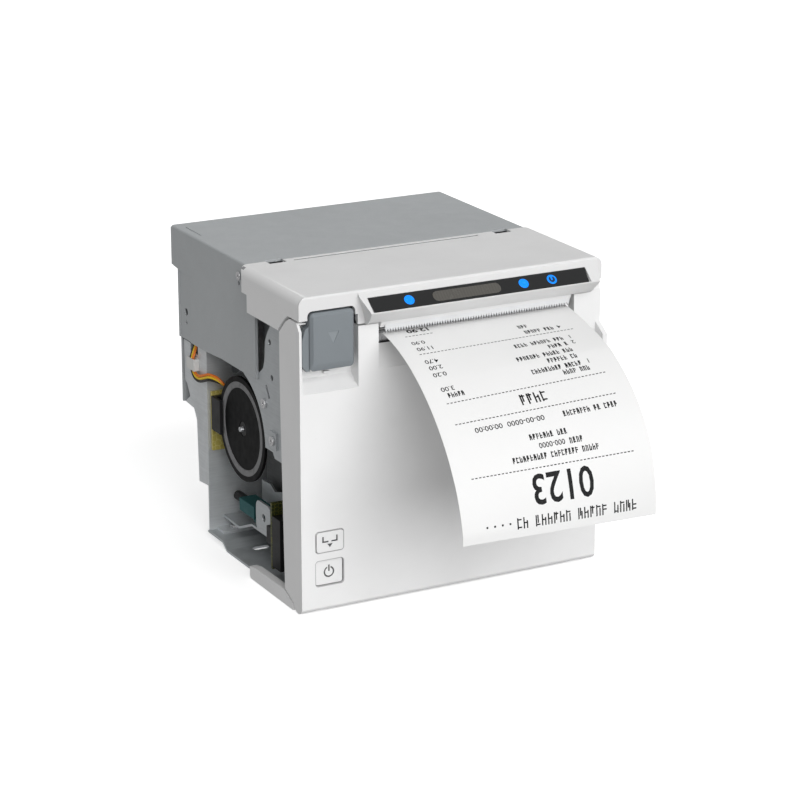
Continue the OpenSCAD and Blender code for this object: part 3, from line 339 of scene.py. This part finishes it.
def board_mask(name, colour, copper, traces=650):
    """Circuit board: solder mask with traces and vias under it."""
    f = Finish(name, colour, 0.35, specular=0.5, coat=0.25)
    grid = f.cells(traces, feature="DISTANCE_TO_EDGE", random_amount=0.55)
    f.tint(f.span(grid, 0.05, 0.12, 0.75, 0), copper)
    f.tint(f.span(f.cells(900), 0.1, 0.16, 0.9, 0), tuple(c * 1.7 for c in copper))
    f.tint(f.span(f.noise(120, 3), 0.45, 0.7, 0, 0.4), f.shaded(0.7))
    f.vary(f.noise(500, 3), 0.28, 0.46)
    f.relief(f.span(grid, 0.05, 0.12, 1, 0), 18e-6, 0.6)
    return f.material


def insulation(name, colour):
    f = Finish(name, colour, 0.4, specular=0.45)
    f.tint(f.span(f.noise(1400, 3), 0.45, 0.75, 0, 0.5), f.shaded(0.72))
    f.tint(f.span(f.noise(160, 2), 0.5, 0.7, 0, 0.3), f.shaded(1.12))
    f.vary(f.noise(900, 2), 0.34, 0.48)
    f.relief(f.noise(1500, 2), 10e-6)
    return f.material


def card_tube():
    f = Finish("card_tube", (0.42, 0.31, 0.19), 0.8, specular=0.2)
    wind = f.node("ShaderNodeTexWave", wave_type="BANDS", bands_direction="X")
    wind.inputs["Scale"].default_value = 30
    wind.inputs["Distortion"].default_value = 1.2
    f.join(f.stretched((1, 1.6, 0.4)), wind.inputs["Vector"])
    f.tint(f.span(wind.outputs["Fac"], 0.82, 0.98, 0, 0.6), (0.22, 0.155, 0.09))
    f.tint(f.span(f.noise(1, 4, 0.7, stretch=(400, 2600, 2600)), 0.45, 0.7, 0, 0.6), (0.55, 0.43, 0.29))
    f.relief(f.noise(1, 4, 0.7, stretch=(400, 2600, 2600)), 30e-6)
    return f.material


def encoder_finish():
    """Black disc with a bright annulus that the sensor reads, and a turned face."""
    f = Finish("encoder_face", (0.008, 0.008, 0.0085), 0.55, specular=0.1)
    r = f.from_roll_axis()
    f.tint(f.band(r, 16.35, 18.7, 0.1), (0.24, 0.24, 0.245))
    f.tint(f.span(f.noise(420, 4), 0.5, 0.8, 0, 0.35), (0.014, 0.014, 0.0145))
    rings = f.math("SINE", f.times(r, 2 * math.pi / 0.0007))
    f.vary(f.noise(300, 3), 0.48, 0.62)
    f.relief(rings, 5e-6, 0.6)
    f.relief(f.noise(2600, 2), 9e-6)
    return f.material


def lamp_glow():
    """Blue lamps; the last one is masked to a ring with an upright stroke."""
    f = Finish("lamp_glow", (0.0, 0.1, 0.35), 0.25)
    f.set("Emission Color", (0.0, 0.235, 1.0, 1))
    f.tint(f.span(f.noise(1500, 2), 0.45, 0.7, 0, 0.4), (0.0, 0.16, 0.5))
    centre = at(39.7, -4.38, 118.95)
    away = f.node("ShaderNodeVectorMath", operation="DISTANCE")
    f.join(f.place, away.inputs[0])
    away.inputs[1].default_value = centre
    middle = f.span(away.outputs["Value"], 0.00125, 0.00135, 1, 0)
    stroke = f.times(f.span(f.off("X", centre.x), 0.0003, 0.00036, 1, 0),
                     f.span(f.part("Z"), centre.z - 0.0003, centre.z - 0.0002))
    masked = f.times(middle, f.math("SUBTRACT", 1.0, stroke))
    f.tint(masked, (0.012, 0.03, 0.07))
    f.join(f.span(masked, 0, 1, 0.95, 0.0), f.shader.inputs["Emission Strength"])
    f.vary(f.noise(1200, 2), 0.2, 0.32)
    f.relief(f.cells(2600), 12e-6, 0.5)
    return f.material


def hub_finish():
    """Black moulding with a bright pin in its end."""
    f = Finish("hub_moulding", BLACK, 0.42, specular=0.3)
    pin = f.times(f.span(f.from_roll_axis(), 0.0011, 0.00115, 1, 0),
                  f.span(f.part("X"), -0.0572, -0.0571, 1, 0))
    f.tint(f.span(f.noise(500, 3), 0.5, 0.8, 0, 0.4), (0.024, 0.024, 0.025))
    f.tint(pin, (0.62, 0.63, 0.65))
    f.join(pin, f.shader.inputs["Metallic"])
    f.relief(f.noise(2400, 2), 12e-6)
    return f.material


def marked_button(name, floor_y, z0, z1):
    """White moulding; its sunk symbol's floor, floor_y behind the front face and z0 to z1 high, is grey."""
    f = Finish(name, WHITE, 0.4, specular=0.4)
    f.tint(f.span(f.noise(38, 3), 0.35, 0.7), f.shaded(0.955))
    near = f.span(f.off("X", KEY_X * MM), 0.0041, 0.0042, 1, 0)
    on_floor = f.band(f.behind(), floor_y - 0.05, floor_y + 0.1, 0.02)
    f.tint(f.times(f.times(near, on_floor), f.band(f.part("Z"), z0, z1, 0.1)), INSET_GREY)
    f.vary(f.noise(240, 4, 0.6), 0.35, 0.47)
    f.relief(f.noise(2600, 2, 0.6), 14e-6)
    return f.material


def cover_finish():
    """White moulding with shade in the joint round each button."""
    f = moulding("cover_shell", WHITE, 0.4, specular=0.4)
    on_face = f.span(f.behind(), 2 * MM, 2.1 * MM, 1, 0)
    for z0, z1 in KEY_HEIGHTS:
        past = []
        for axis, middle, half in (("X", KEY_X, KEY_WIDTH / 2), ("Z", (z0 + z1) / 2, (z1 - z0) / 2)):
            over = f.math("SUBTRACT", f.off(axis, middle * MM), (half - KEY_CORNER) * MM)
            past.append(f.math("MAXIMUM", over, 0.0))
        shade = f.span(f.length(*past), (KEY_CORNER + 0.22) * MM, (KEY_CORNER + 0.36) * MM, 0.75, 0)
        f.tint(f.times(shade, on_face), (0.36, 0.36, 0.365))
    return f.material


def tear_bar_finish():
    """Pale stamped strip, with painted shade on the tips of its teeth."""
    f = Finish("tear_strip", (0.7, 0.71, 0.72), 0.5, metal=0.2)
    f.tint(f.span(f.noise(200, 3), 0.4, 0.7, 0, 0.5), f.shaded(0.92))
    # painted shade: the teeth darker towards their tips
    f.tint(f.span(f.part("Z"), 106.9 * MM, 107.3 * MM, 0.7, 0), f.shaded(0.5))
    f.vary(f.noise(300, 3), 0.45, 0.58)
    f.relief(f.noise(1, 2, stretch=(90, 90, 2200)), 3e-6)
    return f.material


def lever_finish():
    """Grey moulding; the floor of its sunk arrow is a shade lighter."""
    f = Finish("lever_face", LEVER_GREY, 0.46)
    f.tint(f.span(f.noise(38, 3), 0.35, 0.7), f.shaded(0.955))
    near = f.span(f.off("X", -51 * MM), 0.0023, 0.0024, 1, 0)
    sunk = f.span(f.behind(), -1.2 * MM, -1.12 * MM)
    f.tint(f.times(f.times(near, sunk), f.band(f.part("Z"), 105.5, 110.1, 0.1)), (0.245, 0.27, 0.288))
    f.vary(f.noise(240, 4, 0.6), 0.41, 0.53)
    f.relief(f.noise(2200, 2, 0.6), 20e-6)
    return f.material


def lid_finish():
    """White moulding: a painted shade line low in its rear groove, and painted shade on its front face,
    which is a little darker than the top.
    """
    f = moulding("lid", WHITE, 0.4, specular=0.4)
    low = f.span(f.part("Z"), 123.66 * MM, 123.74 * MM, 1, 0)
    high = f.span(f.part("Z"), 122.9 * MM, 123.0 * MM)
    # painted shade: a dark line low in the rear groove
    groove_painted_shade = f.times(f.times(low, high), f.band(f.behind(), 49.1, 51.3, 0.1))
    f.tint(groove_painted_shade, (0.27, 0.275, 0.28))
    # painted shade: the front face darker than the top
    front_painted_shade = f.span(f.behind(), 0.5 * MM, 1.2 * MM, 0.6, 0)
    f.tint(front_painted_shade, (0.66, 0.66, 0.66))
    return f.material


def main_board_finish():
    """Olive board; its large upright half carries a dull grey screen."""
    f = Finish("main_board", BOARD, 0.4, specular=0.4)
    grid = f.cells(650, feature="DISTANCE_TO_EDGE", random_amount=0.55)
    f.tint(f.span(grid, 0.05, 0.12, 0.75, 0), COPPER)
    f.tint(f.span(f.cells(900), 0.1, 0.16, 0.9, 0), (0.27, 0.25, 0.05))
    screen = f.span(f.part("X"), -37.2 * MM, -37.1 * MM)
    f.tint(screen, (0.17, 0.175, 0.18))
    streaks = f.span(f.noise(1, 3, 0.6, stretch=(90, 90, 1500)), 0.4, 0.7, 0, 0.6)
    f.tint(f.times(screen, streaks), (0.1, 0.105, 0.11))
    f.vary(f.noise(500, 3), 0.34, 0.5)
    f.relief(f.span(grid, 0.05, 0.12, 1, 0), 12e-6, 0.5)
    return f.material


def slider_finish():
    """Teal slide with a black grip at its rear end."""
    f = Finish("slider", TEAL, 0.45)
    f.tint(f.span(f.noise(60, 3), 0.35, 0.7), f.shaded(0.8))
    f.tint(f.span(f.behind(), 82.62 * MM, 82.68 * MM), (0.006, 0.006, 0.0065))
    f.vary(f.noise(240, 4, 0.6), 0.5, 0.62)
    f.relief(f.noise(2600, 2, 0.6), 14e-6)
    return f.material


def tinted_window():
    f = Finish("tinted_window", (0.095, 0.09, 0.08), 0.22, coat=0.4)
    ribs = f.node("ShaderNodeTexWave", wave_type="BANDS", bands_direction="X")
    ribs.inputs["Scale"].default_value = 260
    f.join(f.place, ribs.inputs["Vector"])
    f.tint(f.span(ribs.outputs["Fac"], 0.5, 1, 0, 0.5), (0.065, 0.062, 0.056))
    f.vary(f.noise(300, 3), 0.16, 0.3)
    f.relief(ribs.outputs["Fac"], 14e-6, 0.4)
    return f.material


def ground_rubber():
    f = Finish("ground_rubber", (0.045, 0.045, 0.047), 0.72, specular=0.3)
    f.tint(f.span(f.noise(1, 3, stretch=(9000, 300, 300)), 0.5, 0.75, 0, 0.6), (0.085, 0.085, 0.085))
    f.tint(f.span(f.noise(700, 4), 0.55, 0.8, 0, 0.5), (0.16, 0.16, 0.155))
    f.relief(f.noise(1, 2, stretch=(9000, 300, 300)), 12e-6)
    return f.material


def head_ceramic():
    f = Finish("head_ceramic", (0.62, 0.6, 0.55), 0.25, specular=0.6, coat=0.3)
    f.tint(f.span(f.noise(1, 2, stretch=(9000, 60, 60)), 0.5, 0.6, 0, 0.6), (0.34, 0.31, 0.25))
    f.tint(f.span(f.noise(500, 3), 0.5, 0.8, 0, 0.4), (0.42, 0.4, 0.36))
    f.vary(f.noise(400, 3), 0.18, 0.34)
    f.relief(f.noise(1, 2, stretch=(9000, 60, 60)), 8e-6)
    return f.material


FINISH = {
    "white_shell": plastic("white_shell", WHITE, 0.4, specular=0.4),
    "grey_paint": painted("grey_paint", (0.455, 0.476, 0.487), 0.42),
    "steel": sheet_metal("steel", (0.56, 0.585, 0.6), 0.45, metal=0.6),
    "bright_steel": turned_metal("bright_steel", (0.72, 0.72, 0.73), 0.26),
    "alloy": sheet_metal("alloy", (0.66, 0.67, 0.68), 0.38, grain=(70, 1800, 1800), metal=1.0, spangle=0.0),
    "lever_grey": plastic("lever_grey", LEVER_GREY, 0.46, grain=2200, depth=20e-6),
    "black_plastic": plastic("black_plastic", BLACK, 0.45, specular=0.3),
    "dark_plastic": plastic("dark_plastic", (0.04, 0.04, 0.042), 0.52, specular=0.35),
    "panel_black": plastic("panel_black", (0.011, 0.0115, 0.012), 0.2, grain=3600, depth=4e-6, coat=0.25),
    "window": tinted_window(),
    "blue_light": lamp_glow(),
    "rubber": ground_rubber(),
    "ceramic": head_ceramic(),
    "paper": thermal_paper(),
    "card": card_tube(),
    "board": board_mask("board", BOARD, COPPER),
    "sensor_board": board_mask("sensor_board", (0.5, 0.42, 0.1), (0.66, 0.58, 0.22), traces=420),
    "teal": plastic("teal", TEAL, 0.45),
    "orange_wire": insulation("orange_wire", (0.85, 0.21, 0.015)),
    "yellow_wire": insulation("yellow_wire", (0.88, 0.6, 0.02)),
    "black_wire": insulation("black_wire", (0.02, 0.02, 0.021)),
    "white_gear": plastic("white_gear", (0.76, 0.76, 0.74), 0.38, grain=1800),
}
SLOT_OF = {s["node"]: s["material_slot"] for s in frame["record"]["subparts"]}
BODY_OF = {n: b for b, ns in frame["record"]["behaviour"]["bodies"].items() for n in ns}


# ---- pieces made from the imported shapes, with broken edges ----

def baked(o):
    """Puts o's modifiers into its mesh."""
    dg = bpy.context.evaluated_depsgraph_get()
    made = bpy.data.meshes.new_from_object(o.evaluated_get(dg))
    o.modifiers.clear()
    o.data = made


def add(name, mesh, body, slot, *materials):
    """A piece that rides on body, in its slot's finish unless it has materials of its own."""
    o = bpy.data.objects.new(name, mesh)
    bpy.context.scene.collection.objects.link(o)
    for m in materials or (FINISH[slot],):
        o.data.materials.append(m)
    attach(o, body)
    return o


FLAT = math.radians(0.7)  # faces that meet at less are one face
SHARP = math.radians(30)  # edges that turn more are sharp, and are rounded
STILL_SHARP = math.radians(50)  # and after the rounding, edges that turn more stay sharp


def refined(node, edge):
    """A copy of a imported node, with whole flat faces and its sharp edges rounded by edge millimetres."""
    bm = bmesh.new()
    bm.from_mesh(frame["nodes"][node].data)
    bmesh.ops.remove_doubles(bm, verts=bm.verts, dist=2e-6)
    bmesh.ops.dissolve_limit(bm, angle_limit=FLAT, verts=bm.verts, edges=bm.edges)
    for f in bm.faces:
        f.smooth = True
        f.material_index = 0
    mesh = bpy.data.meshes.new(node + "_made")
    bm.to_mesh(mesh)
    bm.free()
    mesh.set_sharp_from_angle(angle=SHARP)
    o = add(node + "_made", mesh, BODY_OF[node], SLOT_OF[node])
    if edge:
        b = o.modifiers.new("edges", "BEVEL")
        b.width = edge * MM
        b.segments = 2
        b.limit_method = "ANGLE"
        b.angle_limit = SHARP
        b.harden_normals = True
        b.use_clamp_overlap = True
        b.miter_outer = "MITER_ARC"
        baked(o)
        o.data.set_sharp_from_angle(angle=STILL_SHARP)
    w = o.modifiers.new("flats", "WEIGHTED_NORMAL")
    w.weight = 100
    w.keep_sharp = True
    baked(o)
    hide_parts(node)
    return o


EDGES = {  # millimetres of rounding
    "top_bezel": 0.4, "front_cover": 0.4, "rear_cover": 0.25, "base_skirt": 0.3, "open_lever": 0.3,
    "feed_button": 0.15, "power_button": 0.15, "left_frame": 0.12, "left_back_panel": 0.12,
    "right_frame": 0.12, "base_plate": 0.12, "rear_panel": 0.12, "roll_bay": 0.2,
    "status_panel": 0.1, "status_window": 0.08, "status_lights": 0.06, "adjuster_bracket": 0.1,
    "near_end_adjuster": 0.15, "encoder_disc": 0.12, "left_hub": 0.2, "right_hub": 0.2,
    "slotted_sensor": 0.15, "sensor_board": 0.06, "wire_clip": 0.1, "main_board": 0.06,
    "board_connectors": 0.12, "rear_sockets": 0.12, "frame_screws": 0.1, "cover_screws": 0.15,
    "paper_guide": 0.3, "release_shaft": 0.15, "feed_motor": 0.25, "cutter_motor": 0.2,
    "head_bracket": 0.15, "thermal_head": 0.1, "gear_bracket": 0.1, "cutter_frame": 0.12,
    "platen_roller": 0.2, "platen_shaft": 0.15, "platen_bushes": 0.1, "hinge_pins": 0.15,
    "button_board": 0.06, "roll_core": 0.15, "paper_roll": 0.3,
}
MADE = {node: refined(node, edge) for node, edge in EDGES.items()}
for node in BODY_OF:
    if node not in MADE and node != "receipt":
        MADE[node] = refined(node, 0)

OWN_FINISH = {
    "encoder_disc": encoder_finish(),
    "paper_roll": wound_paper(),
    # a lighter copy of the same sheet steel: painted light for the back panel, which sits in shade
    "left_back_panel": sheet_metal("steel_painted_lit", (0.72, 0.745, 0.76), 0.42, metal=0.45),
    "left_hub": hub_finish(),
    "feed_button": marked_button("feed_cap", -0.2, 25.5, 31.4),
    "power_button": marked_button("power_cap", 0.9, 13, 19.6),
    "near_end_adjuster": slider_finish(),
    "open_lever": lever_finish(),
    "top_bezel": lid_finish(),
    "main_board": main_board_finish(),
    "front_cover": cover_finish(),
    "tear_bar": tear_bar_finish(),
}
for node, material in OWN_FINISH.items():
    MADE[node].data.materials[0] = material


# ---- receipt ----

RECEIPT_R = 62.2  # radius of the arc in which it falls
LEFT_X, RIGHT_X = -29.75, 49.75
CUT_Y, FALL_Y, SLOT_Z = 5.2, 1.4, 106.0  # where it is cut, where the arc starts, and their height
RECEIPT_LENGTH = 99.2  # along the arc
INK = 0.02  # the print's height over the paper


def sag(x, turn):
    """How far the strip stands off its arc at that turn in degrees: it twists across its width."""
    left = -4.9 * math.sin(math.pi * min(turn, 88) / 88)
    t = min(max((turn - 28) / 45, 0), 1)
    right = -1.4 * math.sin(math.pi * min(turn, 30) / 30) + 3.6 * t * t * (3 - 2 * t)
    w = (x - LEFT_X) / (RIGHT_X - LEFT_X)
    return left * (1 - w) + right * w


def on_receipt(x, s, lift=0.0):
    """The point x millimetres right and s millimetres along the strip from the slot."""
    if s < 0:
        return at(x, FALL_Y - s, SLOT_Z + 0.05 * s + lift)
    turn = s / RECEIPT_R
    r = RECEIPT_R + lift + sag(x, math.degrees(turn))
    return at(x, FALL_Y - r * math.sin(turn), SLOT_Z - RECEIPT_R + r * math.cos(turn))


def grid_sheet(name, xs, ss, lifts):
    """A closed thin sheet on the strip's surface between two lifts."""
    bm = bmesh.new()
    layers = [[[bm.verts.new(on_receipt(x, s, h)) for x in xs] for s in ss] for h in lifts]
    for k, rows in enumerate(layers):
        for i in range(len(ss) - 1):
            for j in range(len(xs) - 1):
                q = [rows[i][j], rows[i][j + 1], rows[i + 1][j + 1], rows[i + 1][j]]
                bm.faces.new(q if k else q[::-1])
    low, high = layers
    n, m = len(ss) - 1, len(xs) - 1
    rim = ([(0, j) for j in range(m)] + [(i, m) for i in range(n)]
           + [(n, j) for j in range(m, 0, -1)] + [(i, 0) for i in range(n, 0, -1)])
    for a, b in zip(rim, rim[1:] + rim[:1]):
        bm.faces.new([low[a[0]][a[1]], low[b[0]][b[1]], high[b[0]][b[1]], high[a[0]][a[1]]])
    bmesh.ops.recalc_face_normals(bm, faces=bm.faces)
    for f in bm.faces:
        f.smooth = True
    mesh = bpy.data.meshes.new(name)
    bm.to_mesh(mesh)
    bm.free()
    mesh.set_sharp_from_angle(angle=math.radians(40))
    return mesh


def spread(a, b, n):
    return [a + (b - a) * i / n for i in range(n + 1)]


paper = add("receipt_paper",
            grid_sheet("receipt_paper", spread(LEFT_X, RIGHT_X, 26),
                       [FALL_Y - CUT_Y] + spread(0, RECEIPT_LENGTH, 96), (-0.1, 0.0)),
            "cover", "paper")
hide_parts("receipt")


class Print:
    """Marks burnt on the strip. Its lines read from the free end, so their words run from right to left."""

    def __init__(self):
        self.bm = bmesh.new()
        self.random = random.Random(7)

    def quad(self, x0, s0, x1, s1):
        """A rectangle, in short steps along the strip so that it follows the curve."""
        marks = spread(s0, s1, max(1, math.ceil((s1 - s0) / 0.9)))
        for a, b in zip(marks, marks[1:]):
            c = [(x0, a), (x1, a), (x1, b), (x0, b)]
            self.bm.faces.new([self.bm.verts.new(on_receipt(x, s, INK)) for x, s in c])

    def dashes(self, s, x0=-23, x1=41.6):
        pitch = 1.5
        x = x0
        while x < x1:
            self.quad(x, s, x + pitch * 0.62, s + 0.36)
            x += pitch

    def mark(self, x, s, w, h, heavy):
        """One greeked sign, three strokes that spell nothing, in a box w wide and h tall."""
        t = heavy * w
        kinds = self.random.sample(range(1, 6), 2)
        self.quad(x, s, x + t, s + h)
        if 1 in kinds:
            self.quad(x + w - t, s + h * 0.3, x + w, s + h)
        if 2 in kinds:
            self.quad(x, s + h * 0.42, x + w, s + h * 0.42 + t)
        if 3 in kinds:
            self.quad(x, s + h * 0.78, x + w, s + h * 0.78 + t)
        if 4 in kinds:
            self.quad(x + w * 0.4, s, x + w * 0.4 + t, s + h * 0.7)
        if 5 in kinds:
            self.quad(x, s + h * 0.1, x + w, s + h * 0.1 + t)

    def words(self, s, right, lengths, size=1.0, heavy=0.38):
        """Words of the given numbers of signs, leftwards from right, with their free ends at s."""
        w, h, gap = 1.02 * size, 2.3 * size, 0.38 * size
        x = right
        for n in lengths:
            for _ in range(n):
                self.mark(x - w, s - h, w, h, heavy)
                x -= w + gap
            x -= w + gap

    def digits(self, text, right, s, size, wide=1.0, bold=0.0):
        """Numerals that read from the free end, with their feet at s and their first sign at the right."""
        curve = bpy.data.curves.new("numerals", "FONT")
        curve.body = text
        curve.size = 1
        curve.resolution_u = 3
        curve.offset = bold
        o = bpy.data.objects.new("numerals", curve)
        bpy.context.scene.collection.objects.link(o)
        mesh = bpy.data.meshes.new_from_object(o)
        bpy.data.objects.remove(o)
        bm = bmesh.new()
        bm.from_mesh(mesh)
        bmesh.ops.triangulate(bm, faces=bm.faces)
        while size > 6:
            long_edges = [e for e in bm.edges if e.calc_length() * size > 2.2]
            if not long_edges:
                break
            bmesh.ops.subdivide_edges(bm, edges=long_edges, cuts=1)
            bmesh.ops.triangulate(bm, faces=[f for f in bm.faces if len(f.verts) > 3])
        x0 = min(v.co.x for v in bm.verts)
        found = {v: self.bm.verts.new(on_receipt(right - (v.co.x - x0) * size * wide,
                                                 s + v.co.y * size, INK)) for v in bm.verts}
        for f in bm.faces:
            self.bm.faces.new([found[v] for v in f.verts])
        bm.free()

    def done(self, name):
        bmesh.ops.recalc_face_normals(self.bm, faces=self.bm.faces)
        for f in self.bm.faces:
            if f.normal.dot(f.calc_center_median() - at(10, FALL_Y, SLOT_Z - RECEIPT_R)) < 0:
                f.normal_flip()
        mesh = bpy.data.meshes.new(name)
        self.bm.to_mesh(mesh)
        self.bm.free()
        return mesh


# ---- print layout: millimetres along the strip from the slot, as a till prints it ----

p = Print()
p.words(96.2, 41.4, (4, 5, 6, 2), 1.78, 0.28)
for i in range(4):
    p.quad(-20.2 + 3.1 * i, 93.4, -19.5 + 3.1 * i, 94.1)
p.digits("0123", 24.6, 77.8, 15.6, 0.82, 0.012)
p.dashes(75.2)
p.words(72.6, 29, (5, 8, 10))
p.words(68.8, 23.5, (4,))
p.digits("000-0000", 16.4, 66.6, 2.9, 0.95, 0.01)
p.words(65.0, 18.2, (3, 7))
p.words(58.4, 41.2, (4, 2, 8))
p.digits("00-00-0000  00:00:00", 11.5, 56.2, 2.9, 1.12, 0.01)
p.dashes(53.1)
p.words(50.8, 15.6, (4,), 2.0, 0.3)
p.dashes(43.6)
p.words(41.4, -14.6, (5,), 0.98)
p.words(41.4, 37.3, (3, 4))
ROWS = (  # place along the strip, number, price, signs in each word
    (36.2, "1", "3.00", (5, 9)),
    (32.4, "", "", (2, 6)),
    (28.8, "", "0.20", (3, 5, 7)),
    (25.0, "2", "2.00", (1, 4)),
    (21.4, "1", "4.70", (3, 6, 4)),
    (13.8, "4", "11.90", (3, 5)),
    (9.8, "", "0.90", (3,)),
)
for s, number, price, lengths in ROWS:
    if number:
        p.digits(number, 38.6, s, 2.9, 1.05, 0.01)
    p.words(s + 2.3, 35.2 if s > 14 or number else 26, lengths)
    if price:
        p.digits(price, -17.4 + 1.3 * (len(price) - 4), s, 2.9, 1.12, 0.01)
p.dashes(17.6)
p.dashes(5.6, -23, -11.6)
p.digits("12.90", -11.6, 1.2, 3.4, 1.3, 0.03)
marks = add("receipt_print", p.done("receipt_print"), "cover", "paper", thermal_print())

for o in (paper, marks):
    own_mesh(o)

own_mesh(MADE["lever_spring"])
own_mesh(MADE["hub_spring"])


# ---- floor and backdrop ----

def stage_mesh(name, build, colour, glow):
    """Part of the studio, which isn't part of the printer."""
    bm = bmesh.new()
    build(bm)
    mesh = bpy.data.meshes.new(name)
    bm.to_mesh(mesh)
    bm.free()
    o = bpy.data.objects.new(name, mesh)
    bpy.context.scene.collection.objects.link(o)
    f = Finish(name, colour, 0.9, specular=0.1)
    f.set("Emission Color", (1, 1, 1, 1))
    f.set("Emission Strength", glow)
    f.tint(f.span(f.noise(9, 2), 0.4, 0.6), f.shaded(0.99))
    o.data.materials.append(f.material)
    return o


def floor_shape(bm):
    bmesh.ops.create_grid(bm, x_segments=2, y_segments=2, size=7)


def dome_shape(bm):
    bmesh.ops.create_uvsphere(bm, u_segments=48, v_segments=24, radius=6.5)


floor = stage_mesh("floor", floor_shape, (0.9, 0.9, 0.9), 0.52)
floor.location.z = cad_box[0].z - 0.00005
floor.visible_diffuse = False  # the studio's own light falls from below too, so the floor adds none
floor.visible_glossy = False
dome = stage_mesh("backdrop", dome_shape, (0.0, 0.0, 0.0), 1.0)
dome.visible_diffuse = False
dome.visible_glossy = False
dome.visible_transmission = False
dome.visible_shadow = False
